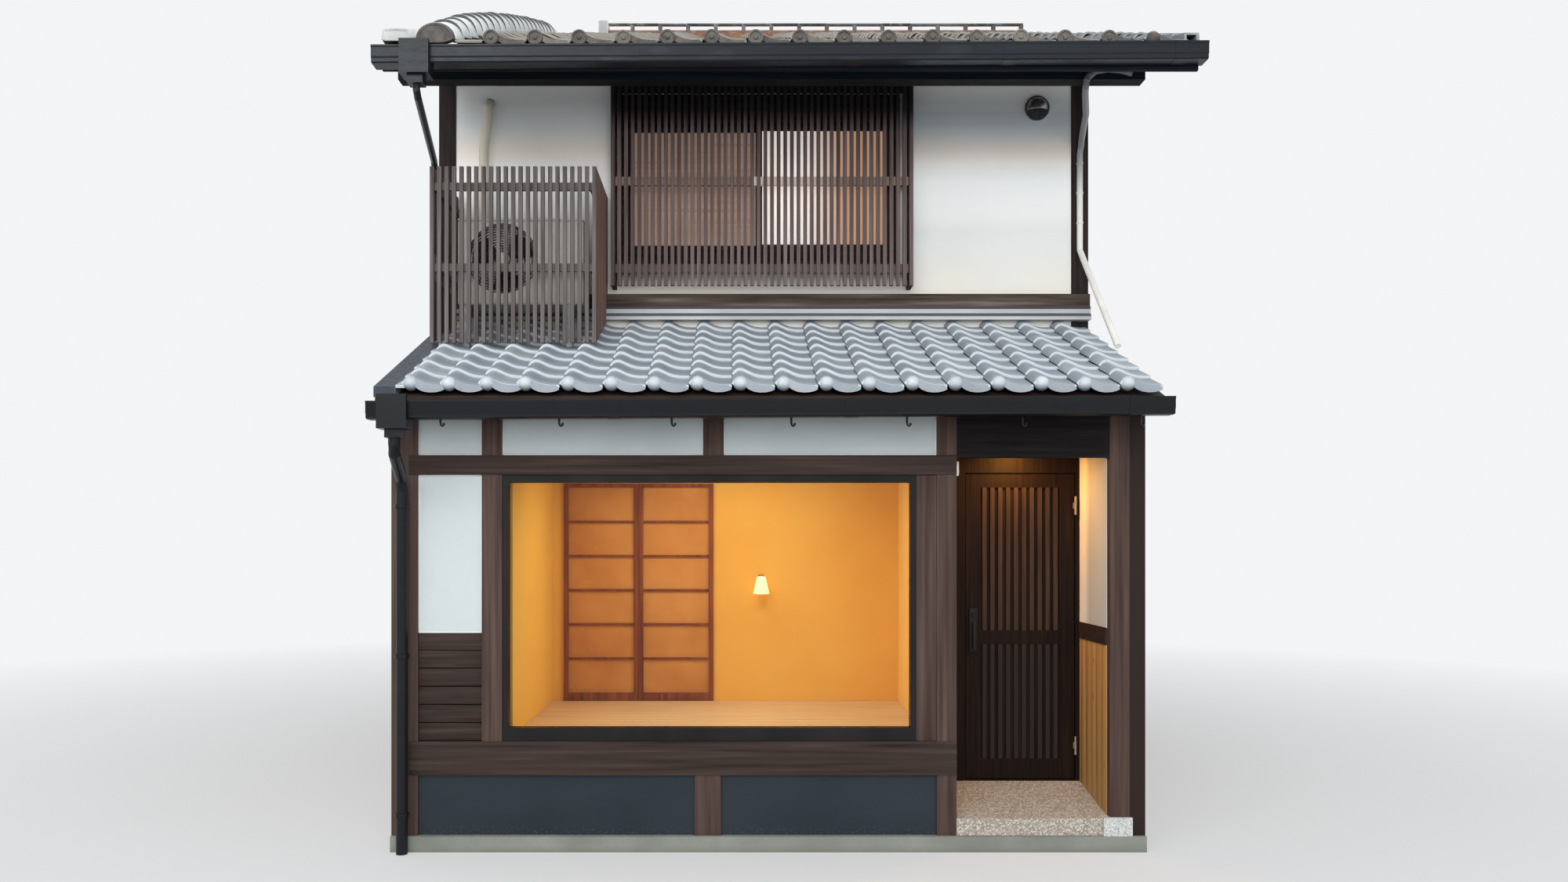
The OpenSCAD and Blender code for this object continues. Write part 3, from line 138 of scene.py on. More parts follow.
def new_finish(name, cards, size, stretch=(1, 1, 1), twist=0.0, fine=0.1, depth=0.0006,
               rough=(0.6, 0.8), metal=0.0, shine=0.3):
    """Colours that drift over lumps of one size, with a finer grain for relief and sheen."""
    finish = bpy.data.materials.new(name)
    finish.use_nodes = True
    tree = finish.node_tree
    shader = tree.nodes["Principled BSDF"]
    shader.inputs["Metallic"].default_value = metal
    shader.inputs["Specular IOR Level"].default_value = shine
    shades = tree.nodes.new("ShaderNodeValToRGB")
    steps = shades.color_ramp.elements
    first_at, last_at = 0.3, 0.7
    while len(steps) < len(cards):
        steps.new(0.5)
    for i, card in enumerate(cards):
        steps[i].position = first_at + (last_at - first_at) * i / (len(cards) - 1)
        steps[i].color = paint(card)
    drift = grain(finish, size, stretch, 8, twist)
    tree.links.new(drift, shades.inputs["Fac"])
    tree.links.new(shades.outputs["Color"], shader.inputs["Base Color"])
    pores = grain(finish, size * fine, stretch, 4, twist)
    pore_share = 0.35
    over(finish, between(finish, pores, 0.35, 0.75, 0.0, pore_share), cards[0])
    relief(finish, pores, depth)
    sheen = between(finish, pores, first_at, last_at, rough[1], rough[0])
    tree.links.new(sheen, shader.inputs["Roughness"])
    return finish


def dress(finish, *names):
    """Gives solids of the house their finish."""
    for name in names:
        for slot in nodes[name].material_slots:
            slot.material = finish


concrete = new_finish("cast_concrete", [(112, 115, 109), (125, 129, 122), (135, 137, 131)], 0.35,
                      rough=(0.75, 0.95), fine=0.05)
splashes = times(concrete, height(concrete, "Z", 0.04, 0.0), grain(concrete, 0.2))
over(concrete, splashes, (104, 102, 90))
screed = new_finish("trowelled_screed", [(118, 116, 110), (140, 138, 132)], 0.35,
                    rough=(0.6, 0.85), fine=0.04)
dress(concrete, "foundation")
dress(screed, "ground_floor")

# Entrance floor and post stone: the ramp is washed pebble mortar, where rounded beige and grey
# pebbles stand a little proud of the bed. The corner post stands on one block of cut granite.


def cells(finish, size, stretch=(1, 1, 1)):
    """Cells that lie on the piece, packed side by side; size is their width in metres."""
    pattern = finish.node_tree.nodes.new("ShaderNodeTexVoronoi")
    pattern.inputs["Scale"].default_value = 1
    finish.node_tree.links.new(laid_on(finish, size, stretch), pattern.inputs["Vector"])
    return pattern


def pebble_bed(finish, size, cards, depth):
    """Rounded stones of three more colours, with the mortar's colour last."""
    stones = cells(finish, size)
    lots = finish.node_tree.nodes.new("ShaderNodeSeparateColor")
    finish.node_tree.links.new(stones.outputs["Color"], lots.inputs[0])
    over(finish, between(finish, lots.outputs[0], 0.45, 0.55, 0, 0.8), cards[0])
    over(finish, between(finish, lots.outputs[1], 0.7, 0.75, 0, 0.8), cards[1])
    over(finish, between(finish, lots.outputs[2], 0.85, 0.9, 0, 0.7), cards[2])
    over(finish, between(finish, stones.outputs["Distance"], 0.35, 0.62, 0, 0.75), cards[3])
    relief(finish, between(finish, stones.outputs["Distance"], 0.1, 0.6, 1, 0), depth)


pebble, crystal = 0.010, 0.006
pebbles = new_finish("washed_pebbles", [(158, 153, 143), (181, 175, 167)], 0.4,
                     rough=(0.6, 0.85), depth=0.0003)
pebble_bed(pebbles, pebble, [(208, 202, 190), (150, 140, 128), (112, 106, 100), (132, 125, 116)],
           0.002)
granite = new_finish("cut_granite", [(176, 180, 180), (204, 208, 206)], 0.1, rough=(0.5, 0.8),
                     fine=0.05, depth=0.0008)
pebble_bed(granite, crystal, [(222, 224, 222), (140, 144, 144), (84, 86, 88), (176, 180, 178)],
           0.0002)
dress(pebbles, "porch_floor")
dress(granite, "post_stone")

# Walls: the party walls are finished in clay plaster with chopped straw. The rear wall, the upper
# front and the small front panels are white lime plaster, laid by trowel. Rain has left stains at
# the foot of the upper front. Painted shade darkens the front panels and the upper front below
# 4.45 m, and a painted eave shadow with a warm edge lies softly on the upper front.


def band(finish, axis, start, full, fading, end):
    """1 between two places on an axis of the house, and fading to 0 beyond them."""
    return times(finish, height(finish, axis, start, full), height(finish, axis, end, fading))


def limed(name, cards):
    """White lime plaster with the low waves that a trowel leaves."""
    plaster = new_finish(name, cards, 0.6, rough=(0.7, 0.9), fine=0.06, depth=0.0005)
    relief(plaster, grain(plaster, 0.3, (1, 1, 0.4), 3), 0.002)
    return plaster


def copy_of(finish, name):
    """The same finish under another name, to be worked further."""
    other = finish.copy()
    other.name = name
    return other


clay = new_finish("clay_plaster", [(180, 160, 130), (188, 168, 138), (195, 176, 147)], 0.5,
                  rough=(0.8, 0.98), fine=0.03, depth=0.0015)
straw = between(clay, grain(clay, 0.02, (1, 1, 0.15), 3, 1.5), 0.62, 0.72, 0, 0.6)
over(clay, straw, (206, 190, 150))
over(clay, times(clay, height(clay, "Z", 0.9, 0.1), grain(clay, 0.3)), (134, 120, 100))
lime = limed("lime_plaster", [(228, 231, 229), (237, 240, 238), (241, 243, 241)])
shop_lime = copy_of(lime, "shop_lime_plaster")
# Painted shade: panels in the front plane, under the lower eave, are multiplied darker.
over(shop_lime, height(shop_lime, "Y", -2.9, -3.0), (196, 202, 205), "MULTIPLY")
upper_lime = limed("upper_lime_plaster", [(243, 245, 243), (250, 251, 250), (253, 253, 252)])
stronger_right = between(upper_lime, height(upper_lime, "X", -1.2, 0.4), 0, 1, 0.45, 1)
eave_shade = times(upper_lime, band(upper_lime, "Z", 4.58, 4.86, 4.94, 5.12), stronger_right)
over(upper_lime, eave_shade, (188, 194, 200), "MULTIPLY")
# Painted light: a warm tint along the edge of the eave's painted shadow.
warm_shadow_edge = band(upper_lime, "Z", 4.50, 4.66, 4.70, 4.84)
over(upper_lime, warm_shadow_edge, (255, 246, 236), "MULTIPLY")
# Painted shade: the upper front is multiplied darker below 4.10 to 4.45 m.
lower_wall_shade = height(upper_lime, "Z", 4.45, 4.10)
over(upper_lime, lower_wall_shade, (222, 223, 222), "MULTIPLY")
for rain_mark in ((212, 206, 196), (226, 218, 204)):
    foot = times(upper_lime, height(upper_lime, "Z", 4.0, 3.6), grain(upper_lime, 0.5))
    over(upper_lime, foot, rain_mark)
dress(clay, "party_wall_left", "party_wall_right")
dress(lime, "rear_wall")
dress(shop_lime, "plaster_panels")
dress(upper_lime, "upper_wall")

# Timber frame of the shop front: square posts and beams of cedar, planed and stained dark brown,
# jointed without metal. The posts' grain runs up and the beams' grain runs across the front. The
# stain has worn paler on the raised latewood lines, and the last post on the right is darker.


def stained(name, cards, up, size=0.03, rough=(0.5, 0.75), reach=20, depth=0.0012):
    """Dark stained softwood whose grain runs up (True) or across the front (False)."""
    stretch, broad_stretch = ((1, 1, reach),) * 2 if up else ((reach, 1, 1), (reach / 2, 1, 1))
    wood = new_finish(name, cards, size, stretch, 0.1, 0.25, depth, rough, shine=0.15)
    broad = grain(wood, size * 9, broad_stretch, 3)
    over(wood, between(wood, broad, 0.4, 0.7, 0, 0.3), cards[0])
    relief(wood, grain(wood, size * 0.5, stretch, 5, 0.1), depth)
    return wood


post_wood = stained("stained_posts", [(55, 43, 39), (70, 55, 51), (78, 63, 57), (91, 74, 68)], True,
                    reach=30)
over(post_wood, height(post_wood, "X", 2.205, 2.212), (40, 31, 29))
beam_wood = stained("stained_beams", [(38, 29, 27), (52, 42, 38), (58, 47, 43), (72, 59, 54)],
                    False, reach=30)
dress(post_wood, "front_posts")
dress(beam_wood, "front_beams", "rear_beams")

# Plaster panels of the front: each lime panel stands in a thin painted bead that covers the joint
# between plaster and timber. A bead is four strips, a shade darker than the plaster it frames.


def board(name, low, high, edge=0.003, steps=2):
    """A planed board between two corners, its edges eased."""
    centre = [(a + b) / 2 for a, b in zip(low, high)]
    bpy.ops.object.select_all(action="DESELECT")
    bpy.ops.mesh.primitive_cube_add(size=1, location=centre)
    piece = bpy.context.active_object
    piece.name = piece.data.name = name
    bpy.ops.object.mode_set(mode="EDIT")
    bpy.ops.transform.resize(value=[b - a for a, b in zip(low, high)], center_override=centre)
    bpy.ops.mesh.bevel(offset=edge, segments=steps)
    bpy.ops.object.mode_set(mode="OBJECT")
    bpy.ops.object.transform_apply(location=True, rotation=True, scale=True)
    return piece


def joined(name, pieces):
    """Pieces of one mesh, under one name."""
    bpy.ops.object.select_all(action="DESELECT")
    for piece in pieces:
        piece.select_set(True)
    bpy.context.view_layer.objects.active = pieces[0]
    bpy.ops.object.join()
    pieces[0].name = pieces[0].data.name = name
    return pieces[0]


def fit(piece, finish, stands_for=(), body="house", smooth=40):
    """Gives a new piece its finish and fixes it to the house or to the door."""
    piece.data.materials.clear()
    piece.data.materials.append(finish)
    bpy.ops.object.select_all(action="DESELECT")
    piece.select_set(True)
    bpy.context.view_layer.objects.active = piece
    bpy.ops.object.shade_smooth_by_angle(angle=math.radians(smooth))
    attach(piece, body)
    if stands_for:
        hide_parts(*stands_for)


def frame_bars(name, low, high, bar, edge=0.001):
    """Four bars round a rectangle that stands in the front, the uprights between the others."""
    (x0, y0, z0), (x1, y1, z1) = low, high
    return joined(name, [board(name, (x0, y0, z0), (x1, y1, z0 + bar), edge),
                         board(name, (x0, y0, z1 - bar), (x1, y1, z1), edge),
                         board(name, (x0, y0, z0 + bar), (x0 + bar, y1, z1 - bar), edge),
                         board(name, (x1 - bar, y0, z0 + bar), (x1, y1, z1 - bar), edge)])


panels_low, panels_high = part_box("plaster_panels")
bay_left, bay_right, bay_top = panels_low.x, -1.752, 2.302
frieze_foot, frieze_ends = 2.421, [(bay_left, bay_right), (-1.628, -0.398), (-0.273, 1.031)]
bead, bead_stands = 0.008, Vector((0, 0.004, 0))
fields = [((x0, panels_low.y, frieze_foot), (x1, panels_low.y, panels_high.z))
          for x0, x1 in frieze_ends]
fields.append(((bay_left, panels_low.y, panels_low.z), (bay_right, panels_low.y, bay_top)))
beads = [frame_bars("panel_beads", Vector(low) - bead_stands, Vector(high) + bead_stands, bead)
         for low, high in fields]
bead_paint = new_finish("bead_paint", [(201, 204, 204), (211, 213, 213)], 0.2)
fit(joined("panel_beads", beads), bead_paint)

# Board dado and window side board: under the plaster bay lie five horizontal boards with open
# shadow joints, closed by a thick rail on top. One wide upright board fills the gap between the
# window and the entrance post. All are stained cedar, nailed from behind.
boards_low, boards_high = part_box("bay_boards")
window_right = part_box("window_frame")[1].x
dado_boards, dado_face, dado_back, rail_face = 5, -3.390, -3.322, -3.398
dado_top, rail_top = 1.228, panels_low.z
pitch = (dado_top - boards_low.z) / dado_boards
under_gap, over_gap = 0.003, 0.002
levels = [boards_low.z + i * pitch for i in range(dado_boards)]
dado = [board("dado_boards", (bay_left, dado_face, z + under_gap),
              (bay_right, dado_back, z + pitch - over_gap), 0.004) for z in levels]
dado_wood = stained("dado_wood", [(34, 26, 23), (49, 40, 36), (57, 46, 42), (72, 60, 54)], False)
rail = board("dado_rail", (bay_left, rail_face, dado_top), (bay_right, dado_back, rail_top), 0.005)
side_board = board("window_side_board", (window_right, boards_low.y, boards_low.z), boards_high)
fit(joined("dado_boards", dado), dado_wood)
fit(rail, beam_wood)
fit(side_board, post_wood, ["bay_boards"])

# Base panels: smooth boards between foundation and sill, painted a blue-black that has gone
# slightly chalky, with splashes of soil near the ground.
navy = new_finish("navy_paint", [(23, 31, 38), (30, 39, 46), (36, 44, 51)], 0.5, (2, 1, 1),
                  fine=0.05, rough=(0.45, 0.7), depth=0.0003)
soil = between(navy, grain(navy, 0.015), 0.5, 0.7, 0, 0.6)
over(navy, times(navy, height(navy, "Z", 0.16, 0.09), soil), (84, 80, 74))
dress(navy, "base_panels")

# Show window: a frame of dark bronze-black metal bars holds one large pane of clear float glass,
# set in from the posts and sealed all round.
black_metal = new_finish("black_metal", [(20, 19, 20), (28, 26, 27), (36, 33, 33)], 0.25, (1, 1, 3),
                         fine=0.03, rough=(0.32, 0.5), metal=0.4, depth=0.0002)
pane = new_finish("clear_pane", [(244, 247, 246), (250, 252, 251)], 0.5, depth=0.0,
                  rough=(0.0, 0.02), shine=0.1)
pane_shader = pane.node_tree.nodes["Principled BSDF"]
pane_shader.inputs["Transmission Weight"].default_value = 1
pane_shader.inputs["IOR"].default_value = 1.2
dress(black_metal, "window_frame")
dress(pane, "window_glass")

# Display room: behind the pane is a small room with warm orange-ochre plaster walls and a raised
# floor of narrow pale boards laid across it. The ceiling boards are plain pine, as in the
# entrance, and the upper storey's floor is of the same pale boards.


def repeated(piece, count, step):
    """Copies of a piece in a row, a step apart, in one mesh."""
    row = piece.modifiers.new("row", "ARRAY")
    row.use_relative_offset = False
    row.use_constant_offset = True
    row.constant_offset_displace = step
    row.count = count
    bpy.context.view_layer.objects.active = piece
    bpy.ops.object.modifier_apply(modifier=row.name)
    return piece


ochre = new_finish("ochre_plaster", [(235, 175, 76), (239, 184, 85), (241, 190, 94)], 0.6,
                   rough=(0.8, 0.95), fine=0.04, depth=0.0008)
# Painted light: the side walls, which look along X, are painted paler and warmer.
over(ochre, facing(ochre, "X", -0.5, -0.9), (255, 214, 124))
over(ochre, facing(ochre, "X", 0.5, 0.9), (255, 208, 92))
pale_boards = stained("pale_floor_boards", [(210, 174, 128), (223, 194, 151), (228, 201, 160),
                                            (233, 209, 172)], False, rough=(0.35, 0.5), depth=0.0003)
pine = stained("pine_boards", [(151, 114, 67), (165, 129, 81), (172, 137, 89), (180, 147, 99)],
               True, size=0.05, rough=(0.45, 0.65), depth=0.0004)
dress(ochre, "room_walls")
dress(pine, "ceilings")
dress(pale_boards, "upper_floor")
room_low, room_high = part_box("display_floor")
floor_boards, near_joint, far_joint = 14, 0.0005, 0.0015
wide = (room_high.y - room_low.y) / floor_boards
strip = board("display_boards", (room_low.x, room_low.y + near_joint, room_low.z),
              (room_high.x, room_low.y + wide - far_joint, room_high.z), 0.002)
fit(repeated(strip, floor_boards, (0, wide, 0)), pale_boards, ["display_floor"])

# Paper screens: two sliding screens stand before the back wall. Each is a slim cedar frame with
# six rows and one sheet of warm handmade paper glued behind. The lowest rail is the deepest.
screen_low, screen_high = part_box("shoji_screens")
half = (screen_high.x - screen_low.x) / 2
stile, stile_deep, foot_rail, row, rows = 0.034, 0.026, 0.062, 0.258, 6
rail_from, rail_to, bar_from, bar_to, bar_under, bar_over = 0.003, 0.024, 0.006, 0.020, 0.010, 0.008
sheet_in, sheet_from, sheet_to, meeting_gap = 0.01, 0.021, 0.025, 0.001
red_wood = stained("red_screen_wood", [(98, 48, 28), (128, 66, 38), (142, 76, 44), (158, 90, 54)],
                   True, size=0.02, depth=0.0003)
paper = new_finish("screen_paper", [(194, 129, 63), (205, 141, 72), (213, 151, 82)], 0.3,
                   fine=0.05, rough=(0.85, 0.95), depth=0.0002)
fibres = between(paper, grain(paper, 0.03, (1, 1, 0.2), 3, 2), 0.6, 0.7, 0, 0.4)
over(paper, fibres, (240, 200, 156))
bars, sheets = [], []
y, z, top = screen_low.y, screen_low.z, screen_high.z
for x0 in (screen_low.x, screen_low.x + half):
    x1 = x0 + half - meeting_gap
    in0, in1 = x0 + stile, x1 - stile
    head_rail = z + foot_rail + rows * row
    bars += [board("bar", (x0, y, z), (in0, y + stile_deep, top), 0.002),
             board("bar", (in1, y, z), (x1, y + stile_deep, top), 0.002),
             board("bar", (in0, y + rail_from, z), (in1, y + rail_to, z + foot_rail), 0.002),
             board("bar", (in0, y + rail_from, head_rail), (in1, y + rail_to, top), 0.002)]
    for level in [z + foot_rail + i * row for i in range(1, rows)]:
        bars.append(board("bar", (in0, y + bar_from, level - bar_under),
                          (in1, y + bar_to, level + bar_over), 0.001))
    sheets.append(board("sheet", (x0 + sheet_in, y + sheet_from, z + sheet_in),
                        (x1 - sheet_in, y + sheet_to, top - sheet_in), 0.001))
fit(joined("screen_frames", bars), red_wood, ["shoji_screens"])
fit(joined("screen_papers", sheets), paper)

# Wall lamp: a small lamp hangs from a bracket on the back wall. It is a tapered shade of white
# paper over thin ribs, open below, and the paper glows from the bulb within.


def drawn_line(name, points):
    """A line drawn from point to point, left in edit mode."""
    bpy.ops.object.select_all(action="DESELECT")
    bpy.ops.mesh.primitive_plane_add(size=0.01)
    piece = bpy.context.active_object
    piece.name = piece.data.name = name
    bpy.ops.object.mode_set(mode="EDIT")
    bpy.ops.mesh.select_mode(type="VERT")
    bpy.ops.mesh.merge(type="CENTER")
    bpy.ops.transform.translate(value=points[0])
    for before, after in zip(points, points[1:]):
        way = Vector(after) - Vector(before)
        bpy.ops.mesh.extrude_vertices_move(TRANSFORM_OT_translate={"value": way})
    return piece


def turned(name, outline, centre, steps=32, axis=(0, 0, 1)):
    """A turned piece: its half outline of (radius, height) points is spun once round an axis."""
    axis = Vector(axis)
    side = Vector((1, 0, 0)) if abs(axis.x) < 0.9 else Vector((0, 1, 0))
    on_axis = 0.00001
    points = [Vector(centre) + side * max(r, on_axis) + axis * h for r, h in outline]
    piece = drawn_line(name, points)
    bpy.ops.mesh.select_all(action="SELECT")
    bpy.ops.mesh.spin(steps=steps, angle=2 * math.pi, center=centre, axis=axis)
    bpy.ops.mesh.select_all(action="SELECT")
    bpy.ops.mesh.remove_doubles(threshold=0.0001)
    bpy.ops.mesh.normals_make_consistent(inside=False)
    bpy.ops.object.mode_set(mode="OBJECT")
    return piece


def glowing(finish, strength, card=None):
    """Lets a finish give light, of one colour or of its own."""
    shader = finish.node_tree.nodes["Principled BSDF"]
    shader.inputs["Emission Strength"].default_value = strength
    if card:
        shader.inputs["Emission Color"].default_value = paint(card)
    else:
        own = shader.inputs["Base Color"].links[0].from_socket
        finish.node_tree.links.new(own, shader.inputs["Emission Color"])


lamp_low, lamp_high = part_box("wall_lamp")
shade_r, shade_h = 0.062, 0.135
lamp_at = Vector((lamp_low.x + shade_r, lamp_low.y + shade_r, lamp_low.z))
shade_paper = new_finish("shade_paper", [(244, 226, 190), (252, 240, 212)], 0.05, depth=0.0002)
glowing(shade_paper, 0.9, (255, 214, 150))
shade_line = [(0.060, 0.0), (shade_r, 0.004), (0.052, 0.045), (0.043, 0.085), (0.036, 0.118),
              (0.031, 0.128), (0.014, 0.134), (0.0, shade_h), (0.0, 0.130), (0.028, 0.124),
              (0.057, 0.002), (0.060, 0.0)]
fit(turned("lamp_paper", shade_line, lamp_at, 24), shade_paper, ["wall_lamp"])
arm_half, plate_half, plate_thick = 0.012, 0.020, 0.006
arm = board("arm", lamp_at + Vector((-arm_half, 0, 0.134)),
            (lamp_at.x + arm_half, lamp_high.y, lamp_at.z + 0.140), 0.001)
wall_plate = board("plate", (lamp_at.x - plate_half, lamp_high.y - plate_thick, lamp_at.z + 0.09),
                   (lamp_at.x + plate_half, lamp_high.y, lamp_at.z + 0.14), 0.002)
fit(joined("lamp_bracket", [arm, wall_plate]), black_metal)

# Entrance: right of the door the recess is lined with knotty pine boards below a dark rail, with
# lime plaster above, and a wide dark board closes it on top. A small pale sensor box sits high on
# the left jamb.
knots = copy_of(pine, "knotty_pine")
eyes = cells(knots, 0.2, (1, 1, 5 / 3)).outputs["Distance"]
over(knots, between(knots, eyes, 0.10, 0.05, 0, 0.8), (126, 78, 44))
over(knots, between(knots, eyes, 0.26, 0.1, 0, 0.3), (180, 128, 78))
lining_low, lining_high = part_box("porch_dado")
lining_boards, half_joint = 6, 0.0005
wide = (lining_high.y - lining_low.y) / lining_boards
fronts = [lining_low.y + i * wide for i in range(lining_boards)]
linings = [board("pine_lining", (lining_low.x, y + half_joint, lining_low.z),
                 (lining_high.x, y + wide - half_joint, lining_high.z)) for y in fronts]
fit(joined("pine_lining", linings), knots, ["porch_dado"])
header_wood = stained("header_board", [(14, 12, 12), (21, 18, 19), (25, 21, 22), (34, 29, 29)],
                      False)
dress(header_wood, "porch_header")
dress(beam_wood, "porch_rail")
sensor_plastic = new_finish("pale_plastic", [(216, 206, 190), (228, 220, 206)], 0.1,
                            rough=(0.35, 0.5), fine=0.05, depth=0.0002)
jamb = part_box("door_frame")[0].x
sensor = board("sensor_box", (jamb, -3.300, 2.300), (jamb + 0.036, -3.240, 2.392), 0.008, 3)
fit(sensor, sensor_plastic)

# Door: a framed cedar door in a dark rebated frame. Two fields of square slats, weathered to a
# grey brown, stand in front of a thin board. It hangs on two plain steel hinges with loose pins.
door_wood = stained("door_wood", [(14, 6, 5), (21, 12, 8), (26, 15, 10), (35, 22, 16)], True,
                    size=0.025, reach=30)
slat_wood = stained("slat_wood", [(41, 29, 22), (53, 40, 32), (59, 45, 36), (68, 52, 43)], True,
                    size=0.02)
over(slat_wood, height(slat_wood, "Z", 1.35, 1.15, 0.85), (34, 30, 28))
steel = new_finish("hinge_steel", [(150, 142, 130), (178, 170, 158)], 0.04, rough=(0.35, 0.55),
                   metal=0.8, depth=0.0001)
dress(door_wood, "door_frame", "door_leaf")
dress(slat_wood, "door_slats")
dress(steel, "door_hinges", "hinge_pins")

# Door lock: a cast black lock plate with a rounded upright grip on two posts and a round cover
# over the cylinder. It is powder-coated and screwed to the leaf.
lock_low, lock_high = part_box("door_lock")
lock_x, leaf_y, lock_z = (lock_low.x + lock_high.x) / 2, lock_high.y, lock_low.z
to_front = (0, -1, 0)
plate = board("lock_plate", (lock_low.x, leaf_y - 0.012, lock_z), lock_high, 0.004, 3)
grip_half, grip_thick, grip_low, grip_high = 0.012, 0.014, 0.012, 0.203
grip = board("grip", (lock_x - grip_half, lock_low.y, lock_z + grip_low),
             (lock_x + grip_half, lock_low.y + grip_thick, lock_z + grip_high), 0.006, 3)
post_line = [(0.0, 0), (0.009, 0), (0.007, 0.012), (0.007, 0.03), (0.009, 0.036), (0.0, 0.036)]
posts = [turned("post", post_line, (lock_x, leaf_y - 0.010, lock_z + z), 16, to_front)
         for z in (0.035, 0.180)]
cover_line = [(0, 0.007), (0.006, 0.007), (0.007, 0.011), (0.016, 0.012), (0.0187, 0.008),
              (0.0187, 0.0), (0, 0)]
cover = turned("cover", cover_line, (lock_x, leaf_y - 0.011, lock_z + 0.249), 24, to_front)
fit(joined("lock_and_grip", [plate, grip, cover] + posts), black_metal,
    ["door_lock"], "door")

# Lower roof timber: softwood boards on fifteen rafters, stained like the frame, close the lower
# roof from below. A plain fascia board covers the rafter ends behind the gutter.
shaded_wood = copy_of(beam_wood, "shaded_timber")
over(shaded_wood, facing(shaded_wood, "Z", 0.2, -0.5), (22, 19, 18))
dress(shaded_wood, "lower_roof_boards")

# Lower roof tiles: fired clay pantiles with a silver-blue smoke finish, hung on battens in eight
# courses. Each has a roll along its left side that covers the next pan's edge. The butt is painted
# paler as a highlight, which shows as a wave across the roof, and faces that look right are painted
# darker as shade. The first three columns stand closer together.
lower_pan, closer_by, lower_roll = 0.2506, 0.0282, -2.0918
lower_columns, lower_courses, lower_slope, lower_reach = 18, 8, 0.4, 0.204
lower_eave, lower_bed, lower_thick = Vector((0, -3.773, 2.794)), 0.010, 0.021
lower_long, lower_tuck = 0.262, 0.024
lower_run = Vector((0, lower_long, lower_slope * lower_long - lower_tuck))
lower_row = (lower_columns, (lower_pan, 0, 0))
up_lower_roof = (lower_courses, (0, lower_reach, lower_slope * lower_reach))
wave = [(-0.215, 0.008), (-0.185, 0.018), (-0.15, 0.0290), (-0.1, 0.0395), (-0.045, 0.0445),
        (0.01, 0.0450), (0.07, 0.0415), (0.14, 0.034), (0.22, 0.0245), (0.32, 0.013),
        (0.44, 0.0045), (0.58, 0.0), (0.72, 0.0), (0.80, 0.001)]


def pantile(name, section, width, start, length, thick):
    """One pantile: its butt edge is drawn, extruded up the slope and given its thickness."""
    piece = drawn_line(name, [start + Vector((u * width, 0, h)) for u, h in section])
    bpy.ops.mesh.select_all(action="SELECT")
    bpy.ops.mesh.extrude_region_move(TRANSFORM_OT_translate={"value": length})
    bpy.ops.mesh.select_all(action="SELECT")
    bpy.ops.mesh.normals_make_consistent(inside=False)
    bpy.ops.object.mode_set(mode="OBJECT")
    if sum(face.normal.z for face in piece.data.polygons) < 0:
        piece.data.flip_normals()
    wall = piece.modifiers.new("wall", "SOLIDIFY")
    wall.thickness, wall.offset = thick, -1
    bpy.ops.object.modifier_apply(modifier=wall.name)
    worn = piece.modifiers.new("worn_edge", "BEVEL")
    worn.width, worn.segments = 0.004, 2
    worn.limit_method, worn.angle_limit = "ANGLE", math.radians(60)
    bpy.ops.object.modifier_apply(modifier=worn.name)
    bpy.ops.object.transform_apply(location=True, rotation=True, scale=True)
    return piece


def laid(piece, rows, lift, seed, closer=False):
    """Repeats a tile in its rows; each gets its own tone and lies a little high, low or askew."""
    points = len(piece.data.vertices)
    for count, step in rows:
        repeated(piece, count, step)
    if closer:
        for i, vertex in enumerate(piece.data.vertices):
            vertex.co.x -= closer_by * min(3, i // points % lower_columns)
    chance = random.Random(seed)
    tone = piece.data.attributes.new("tone", "FLOAT", "POINT")
    usual_width = 0.25
    for first in range(0, len(piece.data.vertices), points):
        own, rise, lean = chance.random(), chance.uniform(-lift, lift), chance.uniform(-lift, lift)
        middle = piece.data.vertices[first].co.x
        for i in range(first, first + points):
            tone.data[i].value = own
            spot = piece.data.vertices[i].co
            spot.z += rise + lean * (spot.x - middle) / usual_width
    return piece


def by_tone(finish, low, high, reach=1.0):
    """How far a tile's own tone lies between two values."""
    tone = finish.node_tree.nodes.new("ShaderNodeAttribute")
    tone.attribute_name = "tone"
    return between(finish, tone.outputs["Fac"], low, high, 0, reach)


silver = new_finish("silver_tile", [(126, 134, 143), (138, 146, 153), (146, 153, 159)], 0.16,
                    fine=0.12, rough=(0.32, 0.5), depth=0.0004)
over(silver, by_tone(silver, 0.5, 0.0, 0.35), (134, 146, 158))
over(silver, by_tone(silver, 0.6, 1.0, 0.3), (186, 193, 198))
# Painted shade: faces that look right, away from the key lamp, are painted darker.
over(silver, facing(silver, "X", 0.25, 0.75, 0.5), (104, 118, 132))
butt = copy_of(silver, "silver_tile_highlit_butt")
# Painted highlight: the butts, which look to the front, are painted paler.
over(butt, facing(butt, "Y", -0.35, -0.85), (188, 195, 201))
tile = pantile("lower_pantiles", wave, lower_pan, lower_eave + Vector((lower_roll, 0, lower_bed)),
               lower_run, lower_thick)
laid(tile, [lower_row, up_lower_roof], 0.0012, 4, closer=True)
fit(tile, butt, ["lower_roof_tiles"], smooth=35)
edge_left, edge_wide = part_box("lower_roof_tiles")[0].x, 0.25
flat = pantile("lower_edge_tiles", [(0, 0), (0.12, 0), (0.22, 0.001)], edge_wide,
               lower_eave + Vector((edge_left, 0, lower_bed)), lower_run, lower_thick)
fit(laid(flat, [up_lower_roof], 0.0, 5), butt)

# Lower eave tiles: along the eave every roll is closed by a smooth pale ball, and between two
# balls a crescent apron hangs down from the pan to throw the rain into the gutter. Ball and apron
# are one clay piece.


def quarter_round(radius, steps):
    """The outline of a ball from its pole to its side, as (radius, height) points."""
    turns = [math.pi / 2 * i / steps for i in range(steps + 1)]
    return [(radius * math.sin(a), radius * math.cos(a)) for a in turns]


